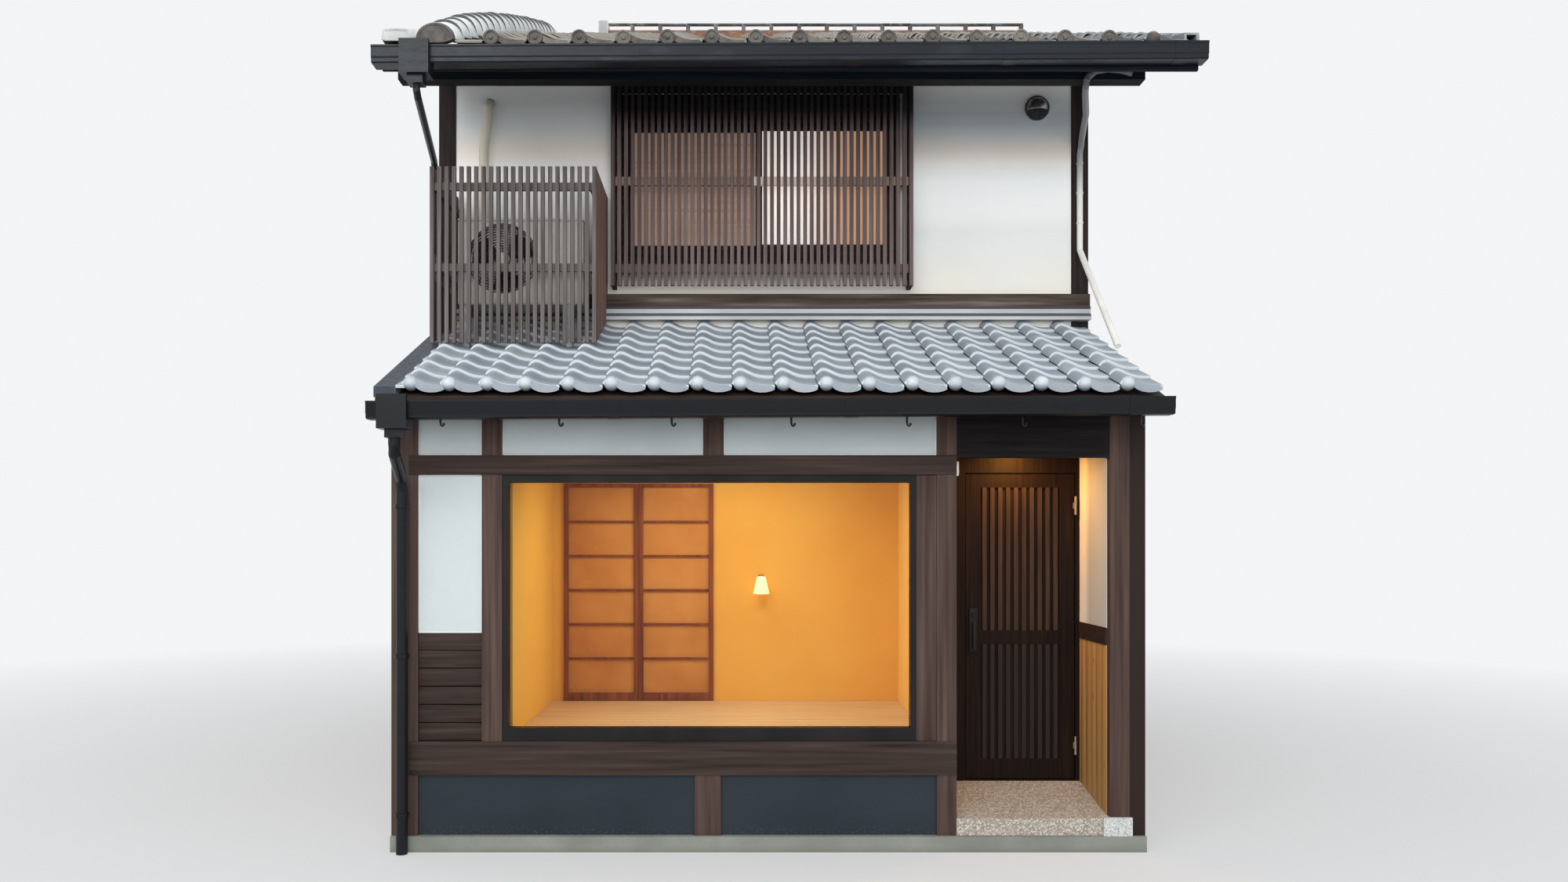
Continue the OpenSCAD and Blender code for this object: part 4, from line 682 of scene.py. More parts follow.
def cut_plate(name, outline, thick):
    """A flat plate: its outline is drawn, filled and extruded by its thickness."""
    piece = drawn_line(name, outline)
    bpy.ops.mesh.select_all(action="SELECT")
    bpy.ops.mesh.edge_face_add()
    bpy.ops.mesh.select_all(action="SELECT")
    bpy.ops.mesh.extrude_region_move(TRANSFORM_OT_translate={"value": thick})
    bpy.ops.mesh.select_all(action="SELECT")
    bpy.ops.mesh.normals_make_consistent(inside=False)
    bpy.ops.object.mode_set(mode="OBJECT")
    bpy.ops.object.transform_apply(location=True, rotation=True, scale=True)
    return piece


ball_line = quarter_round(0.044, 7) + [(0.0435, -0.010), (0.040, -0.022), (0.036, -0.04), (0, -0.04)]
ball_at = lower_eave + Vector((lower_roll, 0.020, 0.020))
ball = turned("eave_balls", ball_line, ball_at, 24, to_front)
laid(ball, [lower_row], 0.0015, 6, closer=True)
pale_tile = new_finish("pale_tile", [(168, 176, 183), (183, 189, 195), (196, 200, 204)], 0.12,
                       fine=0.12, rough=(0.3, 0.45), depth=0.0003)
over(pale_tile, by_tone(pale_tile, 0.3, 0.9, 0.3), (160, 168, 178))
# Painted shade: faces of the balls that look down are painted darker.
over(pale_tile, facing(pale_tile, "Z", -0.1, -0.8, 0.7), (104, 112, 122))
fit(ball, pale_tile)
upper_edge = [(u, h + 0.008) for u, h in wave if 0.1 < u < 0.78]
lower_edge = [(0.80, -0.016), (0.72, -0.026), (0.60, -0.033), (0.46, -0.035), (0.32, -0.030),
              (0.2, -0.018), (0.12, -0.002)]
crescent = [lower_eave + Vector((lower_roll + u * lower_pan, -0.004, h))
            for u, h in upper_edge + lower_edge]
apron = cut_plate("eave_aprons", crescent, Vector((0, 0.018, 0)))
fit(laid(apron, [lower_row], 0.001, 7, closer=True), silver, smooth=30)

# Roof flashing: folded galvanised sheet covers the tiles' upper end below the weathered beam, and
# a strip of it runs down the left edge. It has dulled to a soft grey with pale bloom. Its folds, its
# top under the beam and the foot of the left strip are painted dark as shade.
flashing = new_finish("dull_flashing", [(163, 164, 166), (178, 179, 181), (192, 195, 196)], 0.2,
                      (3, 1, 1), fine=0.08, rough=(0.4, 0.6), metal=0.2, depth=0.0004)
# Painted shade: dark bands in the folds, at the top and at the foot of the left strip.
over(flashing, band(flashing, "Z", 3.476, 3.480, 3.498, 3.502), (84, 88, 93))
over(flashing, height(flashing, "Z", 3.530, 3.534), (60, 62, 66))
edge_strip_shade = times(flashing, height(flashing, "X", -2.178, -2.181),
                   height(flashing, "Z", 3.454, 3.448))
over(flashing, edge_strip_shade, (52, 60, 70))
dress(flashing, "roof_flashing")

# Upper front: above the flashing runs one old silvered beam, its surface furrowed by rain. The
# posts at both ends and the boards round the window are stained like the shop front.
old_beam = stained("silvered_beam", [(51, 42, 37), (78, 67, 60), (94, 83, 76), (125, 115, 106)],
                   False, rough=(0.7, 0.95), depth=0.003)
dark_post = stained("dark_upper_posts", [(24, 20, 20), (38, 31, 30), (46, 38, 36), (60, 50, 47)],
                    True)
casing_wood = stained("casing_boards", [(34, 27, 27), (52, 42, 41), (60, 50, 47), (77, 66, 62)],
                      False)
dress(old_beam, "upper_beam")
dress(dark_post, "upper_posts")
dress(casing_wood, "window_casing")

# Upper window sashes: two sliding sashes overlap in the middle. The left one is filled with five
# brown boards laid flat, the right one with frosted glass that a blind browns on its right half.
# Both are given a faint glow of their own as painted light. The rear windows are of the same dark
# bars.
sash_low, sash_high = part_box("sliding_sashes")
sash_wide, sash_thick, sash_bar, sash_boards = 0.977, 0.030, 0.045, 5
sash_wood = stained("sash_wood", [(159, 125, 103), (189, 155, 134), (201, 169, 147),
                                  (218, 189, 168)], False, reach=30)
# Painted light: the boards are given a faint glow of their own.
glowing(sash_wood, 0.42, (152, 126, 112))
sash_bars = stained("sash_bars", [(44, 32, 28), (58, 44, 39), (66, 51, 45), (80, 64, 57)], True)
left_face = sash_high.y - sash_thick
left_sash = frame_bars("sash_frames", (sash_low.x, left_face, sash_low.z),
                       (sash_low.x + sash_wide, sash_high.y, sash_high.z), sash_bar, 0.003)
right_sash = frame_bars("sash_frames", (sash_high.x - sash_wide, sash_low.y, sash_low.z),
                        (sash_high.x, sash_low.y + sash_thick, sash_high.z), sash_bar, 0.003)
fit(joined("sash_frames", [left_sash, right_sash]), sash_bars, ["sliding_sashes"])
tall = (sash_high.z - sash_low.z - 2 * sash_bar) / sash_boards
panel = board("sash_boards", (sash_low.x + sash_bar, left_face + 0.010, sash_low.z + sash_bar + 0.001),
              (sash_low.x + sash_wide - sash_bar, left_face + 0.020, sash_low.z + sash_bar + tall))
fit(repeated(panel, sash_boards, (0, 0, tall)), sash_wood)
frosted = new_finish("frosted_pane", [(244, 238, 232), (252, 248, 244)], 0.08, (1, 1, 4),
                     rough=(0.25, 0.4), depth=0.0004)
over(frosted, height(frosted, "X", 0.30, 0.56), (196, 152, 120))
streaks = between(frosted, grain(frosted, 0.03, (1, 1, 30), 3), 0.5, 0.7, 0, 0.3)
over(frosted, streaks, (214, 190, 170))
# Painted light: the frosted pane is given a faint glow of its own colour.
glowing(frosted, 0.55)
frosted_glass = board("frosted_pane", (sash_high.x - sash_wide + sash_bar, sash_low.y + 0.011,
                                       sash_low.z + sash_bar),
                      (sash_high.x - sash_bar, sash_low.y + 0.017, sash_high.z - sash_bar), 0.001)
fit(frosted_glass, frosted)
dress(sash_bars, "rear_windows")

# Window lattice and unit cage: forty-six slim cedar slats stand before the upper window on
# three rails, and like slats, set wider and greyer from the weather, screen the outdoor unit on
# three sides. A rail behind the slats is as pale as what lies behind it, so it hardly shows.
lattice_front, cage_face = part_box("window_lattice")[0].y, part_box("cage_front")[0].y
lattice_wood = stained("lattice_wood", [(77, 68, 67), (97, 85, 83), (108, 95, 93),
                                        (128, 115, 114)], True, size=0.02, reach=30)
past_slats = height(lattice_wood, "Y", lattice_front + 0.016, lattice_front + 0.018)
middle_rail = times(lattice_wood, past_slats, band(lattice_wood, "Z", 4.10, 4.15, 4.60, 4.65))
over(lattice_wood, middle_rail, (146, 122, 108))
before_pane = band(lattice_wood, "X", -0.09, -0.08, 0.30, 0.56)
over(lattice_wood, times(lattice_wood, middle_rail, before_pane), (222, 206, 194))
# Painted shade: the lattice is painted near black above 4.76 to 4.90 m, in the eave's shade.
over(lattice_wood, height(lattice_wood, "Z", 4.76, 4.90, 0.9), (15, 16, 21))
cage_wood = stained("cage_wood", [(66, 60, 59), (92, 86, 84), (102, 96, 94), (120, 114, 112)], True,
                    size=0.02, reach=30)
past_slats = height(cage_wood, "Y", cage_face + 0.021, cage_face + 0.023)
low_rail = times(cage_wood, past_slats, band(cage_wood, "Z", 3.60, 3.61, 3.77, 3.78))
over(cage_wood, low_rail, (134, 136, 138))
# Painted shade: the slats' sides, which look along X, are painted darker.
over(cage_wood, facing(cage_wood, "X", 0.5, 0.9, 0.6), (40, 34, 33))
over(cage_wood, facing(cage_wood, "X", -0.5, -0.9, 0.6), (40, 34, 33))
cage_side = stained("cage_side_wood", [(87, 66, 61), (122, 95, 87), (138, 110, 101),
                                       (162, 133, 122)], True, size=0.02, reach=30)
dress(lattice_wood, "window_lattice")
dress(cage_wood, "cage_front", "cage_left")
dress(cage_side, "cage_right")

# Outdoor unit: an enamelled sheet-metal casing with rounded edges. Its round fan opening is
# guarded by rings of wire on spokes. A lid and a service panel with louvres are screwed on, and
# it stands on two zinc-coated bars with legs.


def wire(name, points, radius, closed=False):
    """A bent wire or rod: its line is drawn, turned into a curve and given its thickness."""
    piece = drawn_line(name, points)
    if closed:
        bpy.ops.mesh.select_all(action="SELECT")
        bpy.ops.mesh.remove_doubles(threshold=0.0002)
    bpy.ops.object.mode_set(mode="OBJECT")
    bpy.ops.object.convert(target="CURVE")
    rod = bpy.context.active_object.data
    rod.bevel_depth, rod.bevel_resolution, rod.use_fill_caps = radius, 1, True
    bpy.ops.object.convert(target="MESH")
    bpy.ops.object.transform_apply(location=True, rotation=True, scale=True)
    return bpy.context.active_object


def around(centre, radius, degrees, out=0.0):
    """A point on a circle that stands in the front."""
    a = math.radians(degrees)
    return Vector(centre) + Vector((radius * math.cos(a), out, radius * math.sin(a)))


unit_low, unit_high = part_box("outdoor_unit")
lid_h, fan_r, fan_from_left, fan_over_middle = 0.017, 0.232, 0.296, 0.020
rings, ring_gap, first_ring, ring_wire = 12, 0.0163, 0.05, 0.0032
spokes, hub_r, spoke_part, spoke_twist, spoke_wire = 20, 0.045, 0.0315, 5, 0.0022
louvres, louvre_from_right, louvre_to_right = 8, 0.150, 0.040
louvre_foot, louvre_tall, louvre_step = 0.300, 0.009, 0.018
enamel = new_finish("unit_enamel", [(206, 205, 200), (216, 215, 210), (222, 221, 216)], 0.3,
                    fine=0.05, rough=(0.35, 0.5), depth=0.0002)
dirt = times(enamel, height(enamel, "Z", 3.7, 3.46), grain(enamel, 0.06, (1, 1, 3)))
over(enamel, dirt, (140, 132, 120))
fan = Vector((unit_low.x + fan_from_left, unit_low.y,
              (unit_low.z + unit_high.z) / 2 + fan_over_middle))
to_rear = (0, 1, 0)
casing = board("unit_casing", unit_low, (unit_high.x, unit_high.y, unit_high.z - lid_h - 0.001),
               0.010, 3)
cutter = turned("cutter", [(0, -0.02), (fan_r, -0.02), (fan_r, 0.07), (0, 0.07)], fan, 48, to_rear)
cut = casing.modifiers.new("opening", "BOOLEAN")
cut.operation, cut.object, cut.solver = "DIFFERENCE", cutter, "EXACT"
bpy.context.view_layer.objects.active = casing
bpy.ops.object.modifier_apply(modifier=cut.name)
bpy.data.objects.remove(cutter)
right_side, unit_face, unit_foot = unit_high.x, unit_low.y, unit_low.z
louvre_z = unit_foot + louvre_foot
louvre = board("louvre", (right_side - louvre_from_right, unit_face - 0.003, louvre_z),
               (right_side - louvre_to_right, unit_face + 0.002, louvre_z + louvre_tall), 0.002)
lid = board("lid", (unit_low.x, unit_low.y, unit_high.z - lid_h), unit_high, 0.006, 3)
service_panel = board("panel", (right_side - 0.190, unit_face - 0.002, unit_foot + 0.040),
                      (right_side - 0.012, unit_face + 0.002, unit_high.z - 0.060), 0.002)
repeated(louvre, louvres, (0, 0, louvre_step))
fit(joined("unit_casing", [casing, lid, service_panel, louvre]), enamel,
    ["outdoor_unit"], smooth=30)
guard = [wire("ring", [around(fan, first_ring + ring_gap * i, d, 0.002) for d in range(0, 361, 10)],
              ring_wire, True) for i in range(rings)]
for first in [360 / spokes * i for i in range(spokes)]:
    bent = [around(fan, hub_r + spoke_part * k, first + spoke_twist * k, 0.006) for k in range(7)]
    guard.append(wire("spoke", bent, spoke_wire))
hub_line = [(0, 0.012), (0.030, 0.012), (0.034, 0.008), (0.034, 0.0), (0.024, -0.002), (0, -0.002)]
hub = turned("fan_badge", hub_line, fan, 32, to_rear)
guard_paint = new_finish("guard_paint", [(12, 12, 13), (20, 20, 21)], 0.05, rough=(0.4, 0.6),
                         depth=0.0001)
fit(joined("fan_guard", guard), guard_paint)
fit(hub, enamel)
blade_deep, blade_thick = 0.048, Vector((0, 0.003, 0))
blade_line = [(0.05, 0), (0.12, -4), (0.205, -2), (0.212, 24), (0.205, 52), (0.15, 60), (0.05, 44)]
blades = [cut_plate("blade", [around(fan, r, first + turn, blade_deep) for r, turn in blade_line],
                    blade_thick) for first in (10, 130, 250)]
blade_plastic = new_finish("blade_plastic", [(38, 38, 39), (54, 54, 54)], 0.08, rough=(0.4, 0.55),
                           depth=0.0001)
fit(joined("fan_blades", blades), blade_plastic)
zinc = new_finish("zinc_coat", [(128, 130, 132), (158, 160, 162), (176, 178, 180)], 0.05, fine=0.3,
                  rough=(0.4, 0.6), metal=0.7, depth=0.0002)
dress(zinc, "unit_stand")

# Fittings on the upper wall: a stainless hood covers the round air vent, a beige cover leads the
# refrigerant pipe from its rosette down behind the cage, and a white service conduit follows the
# right post, held by three clips.
hood_steel = new_finish("hood_steel", [(97, 95, 95), (139, 136, 136), (169, 166, 165)], 0.06,
                        (1, 1, 3), rough=(0.25, 0.4), metal=0.85, depth=0.0001)
beige = new_finish("beige_plastic", [(206, 200, 184), (222, 216, 200)], 0.15, (1, 1, 5), fine=0.05,
                   rough=(0.35, 0.5), depth=0.0002)
white_plastic = new_finish("conduit_plastic", [(214, 212, 206), (230, 228, 222)], 0.1, (1, 1, 6),
                           fine=0.05, rough=(0.3, 0.45), depth=0.0002)
# Painted shade: the conduit is painted grey above 4.35 to 4.72 m, where the eave shades it.
over(white_plastic, height(white_plastic, "Z", 4.35, 4.72), (112, 114, 118))
dress(hood_steel, "vent_hood")
dress(beige, "pipe_cover")
dress(white_plastic, "conduit")
rosette_at, conduit_at, clip_levels = (-1.949, -2.214, 4.995), (2.239, -2.243), (4.15, 4.36, 4.57)
rosette_line = [(0, 0), (0.044, 0), (0.044, 0.006), (0.040, 0.011), (0.028, 0.013), (0, 0.013)]
fit(turned("cover_rosette", rosette_line, rosette_at, 32, to_front), beige)
clip_line = [(0.0212, -0.008), (0.0245, -0.006), (0.0245, 0.006), (0.0212, 0.008)]
clips = [turned("conduit_clips", clip_line, (*conduit_at, z), 24) for z in clip_levels]
fit(joined("conduit_clips", clips), white_plastic)

# Upper roof timber: a squared beam on two arms carries the deep eave. Boards and rafters are old
# dark softwood; their blue-black tone is partly painted shade of the deep eave, and faces that look
# down are painted darker as shade.
eave_wood_and_shade = stained("eave_wood_and_shade", [(16, 22, 31), (22, 30, 41), (26, 35, 46), (36, 45, 56)], False,
                    rough=(0.6, 0.85))
# Painted shade: faces that look down are painted near black.
over(eave_wood_and_shade, facing(eave_wood_and_shade, "Z", 0.2, -0.5), (8, 9, 12))
dress(eave_wood_and_shade, "eave_beam", "upper_roof_boards")

# Upper roof tiles: old clay pantiles in sixteen columns and twenty-one courses a slope, browned
# and grey with lichen, between flat edge tiles. They lie looser than the new ones, and every tile
# has weathered to its own tone. The rear slope repeats the front's.
upper_pan, upper_roll, upper_eave, ridge_y = 0.260, -1.641, Vector((0, -3.678, 4.840)), 0.593
upper_columns, upper_courses, upper_slope, upper_reach = 16, 21, 0.42, 0.1975
upper_bed, upper_long, upper_tuck = 0.011, 0.250, 0.026
upper_run = Vector((0, upper_long, upper_slope * upper_long - upper_tuck))
upper_row = (upper_columns, (upper_pan, 0, 0))
up_upper_roof = (upper_courses, (0, upper_reach, upper_slope * upper_reach))
old_clay = new_finish("old_tile", [(75, 73, 72), (95, 93, 88), (112, 108, 103)], 0.12, twist=0.5,
                      rough=(0.5, 0.8), depth=0.0015)
over(old_clay, by_tone(old_clay, 0.45, 0.0, 0.6), (70, 70, 72))
over(old_clay, by_tone(old_clay, 0.55, 1.0, 0.5), (132, 134, 136))
lichen = between(old_clay, grain(old_clay, 0.07, detail=10), 0.56, 0.66, 0, 0.5)
over(old_clay, lichen, (152, 150, 142))
over(old_clay, between(old_clay, grain(old_clay, 0.3, detail=5), 0.55, 0.7, 0, 0.5), (100, 82, 64))
relief(old_clay, grain(old_clay, 0.03, detail=5), 0.003)
pale_butt = copy_of(old_clay, "old_tile_butt")
# Painted shade and highlight: faces that look down are painted dark, and the butts that look to the
# front paler.
over(pale_butt, facing(pale_butt, "Z", -0.2, -0.6), (26, 25, 26))
over(pale_butt, facing(pale_butt, "Y", -0.6, -0.95, 0.5), (172, 168, 158))
over(pale_butt, height(pale_butt, "X", 1.2, 2.2, 0.4), (134, 146, 156))


def at_rear(piece, name):
    """The same piece on the rear slope: a copy with its own mesh, mirrored over the ridge."""
    copy = piece.copy()
    copy.data = piece.data.copy()
    bpy.context.scene.collection.objects.link(copy)
    copy.name = copy.data.name = name
    bpy.ops.object.select_all(action="DESELECT")
    copy.select_set(True)
    bpy.context.view_layer.objects.active = copy
    bpy.ops.object.mode_set(mode="EDIT")
    bpy.ops.mesh.select_all(action="SELECT")
    bpy.ops.transform.resize(value=(1, -1, 1), center_override=(0, ridge_y, 0))
    bpy.ops.mesh.normals_make_consistent(inside=False)
    bpy.ops.object.mode_set(mode="OBJECT")
    return copy


def both_slopes(piece, name, finish, stands_for=(), smooth=35):
    """Tiles for the front and, as a copy, for the rear."""
    fit(at_rear(piece, "rear_" + name), finish, smooth=smooth)
    piece.name = piece.data.name = "front_" + name
    fit(piece, finish, stands_for, smooth=smooth)


tile = pantile("field", wave, upper_pan, upper_eave + Vector((upper_roll, 0, upper_bed)), upper_run,
               0.015)
laid(tile, [upper_row, up_upper_roof], 0.0045, 8)
both_slopes(tile, "pantiles", pale_butt, ["upper_roof_tiles"])
flats = []
for left, lift, wide, drop in ((-1.856, 0.011, 0.165, -0.002), (2.440, 0.052, 0.095, -0.050)):
    flat = pantile("flat", [(0, drop), (0.04, 0.0), (0.96, 0.0), (1, drop)], wide,
                   upper_eave + Vector((left, 0, lift)), upper_run, 0.020)
    flats.append(laid(flat, [up_upper_roof], 0.003, 9))
both_slopes(joined("edge_tiles", flats), "edge_tiles", pale_butt)

# Verge column: a row of big half-round cap tiles runs up near the left edge, bleached almost white
# by lime mortar, with the front face of each lip painted dark as the shade under it. Beyond it lie
# raised pale edge tiles, their ends at the eave plugged with the same mortar. All are bedded by hand.
pale_cap = new_finish("bleached_cap", [(209, 214, 216), (231, 235, 236), (245, 248, 249)], 0.12,
                      rough=(0.5, 0.75), twist=0.5, depth=0.0012)
mortar = copy_of(pale_cap, "pale_mortar")
# Painted shade: the mortar's faces that look down are painted dark, and those that look to the front
# greyer.
over(mortar, facing(mortar, "Z", -0.2, -0.7), (40, 40, 42))
over(mortar, facing(mortar, "Y", -0.7, -0.95, 0.6), (120, 118, 112))
over(pale_cap, by_tone(pale_cap, 0.3, 0.0, 0.4), (150, 152, 152))
stains = between(pale_cap, grain(pale_cap, 0.06, detail=9), 0.6, 0.72, 0, 0.5)
over(pale_cap, stains, (124, 120, 114))
# Painted shade: the cap lips' faces that look to the front are painted dark.
over(pale_cap, facing(pale_cap, "Y", -0.5, -0.85, 0.95), (52, 52, 54))
cap_x, cap_half, cap_tall, cap_bed, cap_thick = -1.968, 0.118, 0.140, 0.016, 0.024
arch = [(-cap_half * math.cos(math.radians(a)), cap_tall * math.sin(math.radians(a)))
        for a in range(0, 181, 12)]
caps = pantile("caps", arch, 1, upper_eave + Vector((cap_x, 0, cap_bed)), upper_run, cap_thick)
laid(caps, [up_upper_roof], 0.003, 10)
# The caps are lower at the eave, and their row swells by a few centimetres in mid-slope
eave_share, share_gain, swell, slope_run = 0.72, 0.4, 0.052, 4.27
for vertex in caps.data.vertices:
    run = max(0, vertex.co.y - upper_eave.y)
    bed_z = upper_eave.z + upper_slope * run
    share = min(1, eave_share + share_gain * run)
    bulge = swell * math.sin(math.pi * min(1, run / slope_run))
    vertex.co.z = bed_z + (vertex.co.z - bed_z) * share + bulge
both_slopes(caps, "verge_caps", pale_cap)
rim_x, rim_wide, rim_lift = -2.290, 0.172, 0.078
rim = pantile("rim", [(0, -0.070), (0.05, -0.004), (0.5, 0.002), (0.95, -0.004), (1, -0.060)],
              rim_wide, upper_eave + Vector((rim_x, 0, rim_lift)), upper_run, 0.020)
both_slopes(laid(rim, [up_upper_roof], 0.003, 18), "verge_rims", mortar)
plug = board("rim_ends", upper_eave + Vector((-2.284, 0.006, 0.004)),
             upper_eave + Vector((-2.124, 0.090, 0.070)), 0.006)
both_slopes(plug, "rim_ends", mortar)

# Upper eave tiles: fifteen rolls end in round faces pressed with a ring and a boss, the sixteenth
# in a ball, and a scalloped apron hangs from the pan between them. The verge column ends in a
# larger plain disc that is flattened below.
face_clay = new_finish("eave_face_clay", [(68, 65, 63), (85, 81, 78), (100, 96, 91)], 0.05,
                       twist=0.5, rough=(0.6, 0.85), depth=0.001)
over(face_clay, by_tone(face_clay, 0.5, 1.0, 0.5), (136, 130, 120))
# Painted light: faces of the eave ends that look up are painted paler.
over(face_clay, facing(face_clay, "Z", 0.4, 0.9, 0.7), (164, 160, 150))
face_line = [(0, 0.030), (0.012, 0.029), (0.016, 0.020), (0.031, 0.020), (0.034, 0.027),
             (0.043, 0.027), (0.046, 0.022), (0.046, -0.02), (0, -0.02)]
faces = turned("faces", face_line, upper_eave + Vector((upper_roll, 0.012, 0.020)), 28, to_front)
laid(faces, [(upper_columns - 1, (upper_pan, 0, 0))], 0.003, 11)
both_slopes(faces, "eave_faces", face_clay)
last_roll = upper_roll + (upper_columns - 1) * upper_pan
end_ball = turned("end", quarter_round(0.040, 4) + [(0.040, -0.04), (0, -0.04)],
                  upper_eave + Vector((last_roll, 0.010, 0.022)), 24, to_front)
disc_line = [(0, 0.016), (0.088, 0.016), (0.096, 0.022), (0.106, 0.022), (0.112, 0.016),
             (0.112, -0.01), (0, -0.01)]
disc_at = upper_eave + Vector((cap_x, 0.008, 0.018))
end_disc = turned("disc", disc_line, disc_at, 36, to_front)
upper_share, lower_share = 0.80, 0.30
for vertex in end_disc.data.vertices:
    out = vertex.co.z - disc_at.z
    vertex.co.z = disc_at.z + out * (upper_share if out > 0 else lower_share)
both_slopes(laid(joined("ends", [end_ball, end_disc]), [], 0.0, 12), "eave_ends", face_clay)
upper_edge = [(u, h + 0.006) for u, h in wave if 0.1 < u < 0.78]
lower_edge = [(0.79, -0.012), (0.70, -0.024), (0.58, -0.034), (0.44, -0.037), (0.32, -0.028),
              (0.22, -0.010), (0.15, 0.002)]
scallop = [upper_eave + Vector((upper_roll + u * upper_pan, -0.004, h))
           for u, h in upper_edge + lower_edge]
aprons = cut_plate("aprons", scallop, Vector((0, 0.020, 0)))
both_slopes(laid(aprons, [upper_row], 0.002, 13), "eave_aprons", face_clay, smooth=30)

# Ridge: a narrowing bed of red clay mortar and broken tile carries a row of small blocks. They
# hold a slim round cap, and daylight shows between them. Pale mortar closes the left end.
ridge_low, ridge_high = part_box("ridge_cap")
bed_lengths, bed_joint, block_count, block_wide = 15, 0.003, 16, 0.036
seg = (ridge_high.x - ridge_low.x) / bed_lengths
along_ridge, seg_long = (bed_lengths, (seg, 0, 0)), Vector((seg - bed_joint, 0, 0))
red_clay = new_finish("red_clay", [(112, 84, 66), (140, 106, 84), (160, 130, 108)], 0.08, twist=0.4,
                      rough=(0.75, 0.95), depth=0.002)
over(red_clay, between(red_clay, grain(red_clay, 0.09, detail=9), 0.55, 0.7, 0, 0.6),
     (150, 146, 136))
half_bed = [(-0.118, 6.522), (-0.116, 6.560), (-0.096, 6.566), (-0.094, 6.612), (-0.076, 6.618),
            (-0.074, 6.660), (-0.056, 6.666), (-0.054, 6.698)]
bed_line = half_bed + [(-y, z) for y, z in reversed(half_bed)]
bed = cut_plate("ridge_bed", [Vector((ridge_low.x, ridge_y + y, z)) for y, z in bed_line], seg_long)
fit(laid(bed, [along_ridge], 0.001, 14), red_clay)
block_half, block_foot, block_top = 0.020, 6.690, 6.762
block_step = (ridge_high.x - ridge_low.x - block_wide - 0.002) / (block_count - 1)
block = board("block", (ridge_low.x + 0.001, ridge_y - block_half, block_foot),
              (ridge_low.x + 0.001 + block_wide, ridge_y + block_half, block_top))
block.name = block.data.name = "ridge_openwork"
fit(laid(block, [(block_count, (block_step, 0, 0))], 0.0, 16), old_clay)
cap_wide, cap_high, cap_z = 0.022, 0.012, 6.770
cap_round = [Vector((ridge_low.x, ridge_y + cap_wide * math.cos(math.radians(a)),
                     cap_z + cap_high * math.sin(math.radians(a)))) for a in range(0, 360, 30)]
cap = cut_plate("ridge_caps", cap_round, seg_long)
fit(laid(cap, [along_ridge], 0.001, 17), old_clay, ["ridge_cap"])
end_block = board("ridge_end", (ridge_low.x - 0.030, ridge_y - 0.118, 6.560),
                  (ridge_low.x + 0.060, ridge_y + 0.100, 6.770), 0.014, 3)
fit(end_block, mortar)

# Gutters and downpipes: charcoal plastic channels with a stepped front hang under each eave and
# fall to the left. Sleeves join their lengths, and wire hooks hang below the lower one. Each
# empties through a hopper into a round downpipe, and collars hold the one at the shop front.
charcoal = new_finish("charcoal_plastic", [(19, 23, 29), (24, 29, 34), (30, 35, 41)], 0.4,
                      (4, 1, 1), fine=0.03, rough=(0.28, 0.42), depth=0.0002, shine=0.25)
dust = between(charcoal, grain(charcoal, 0.12, (3, 1, 1), 8), 0.58, 0.75, 0, 0.2)
over(charcoal, dust, (70, 75, 81))
# Painted shade: faces that look down, and everything below 3.1 to 3.3 m such as the lower gutter, are
# painted darker.
over(charcoal, facing(charcoal, "Z", -0.3, -0.9), (18, 22, 27))
over(charcoal, height(charcoal, "Z", 3.3, 3.1, 0.8), (12, 14, 17))
stepped = [(0.125, 0.0), (0.125, -0.096), (0.118, -0.100), (0.018, -0.100), (0.010, -0.094),
           (0.010, -0.074), (0.004, -0.066), (0.004, -0.014), (0.0, -0.008), (0.0, 0.0), (0.010, 0.0)]
gutter_wall, sleeve_half, sleeve_out = 0.003, 0.04, 0.002


def channel(name, x0, x1, y0, top, fall, out=0.0):
    """A length of gutter: its stepped section is drawn and extruded, falling to the left."""
    front_part, low_part = 0.06, -0.06
    section = [Vector((x0, y0 + y - (out if y < front_part else 0),
                       top + fall * x0 + z - (out if z < low_part else 0))) for y, z in stepped]
    piece = drawn_line(name, section)
    bpy.ops.mesh.select_all(action="SELECT")
    run = (x1 - x0, 0, fall * (x1 - x0))
    bpy.ops.mesh.extrude_region_move(TRANSFORM_OT_translate={"value": run})
    bpy.ops.object.mode_set(mode="OBJECT")
    wall = piece.modifiers.new("wall", "SOLIDIFY")
    wall.thickness, wall.offset = gutter_wall, 0
    bpy.ops.object.modifier_apply(modifier=wall.name)
    bpy.ops.object.transform_apply(location=True, rotation=True, scale=True)
    return piece


def gutter(name, x0, x1, y0, top, fall, sleeves):
    """A channel with its end plates and joint sleeves."""
    plates = [cut_plate("end", [Vector((x, y0 + y, top + fall * x + z - 0.0005))
                                for y, z in stepped[:-1]], Vector((gutter_wall, 0, 0)))
              for x in (x0, x1 - gutter_wall)]
    bands = [channel("band", x - sleeve_half, x + sleeve_half, y0, top, fall, sleeve_out)
             for x in sleeves]
    return joined(name, [channel(name, x0, x1, y0, top, fall)] + plates + bands)


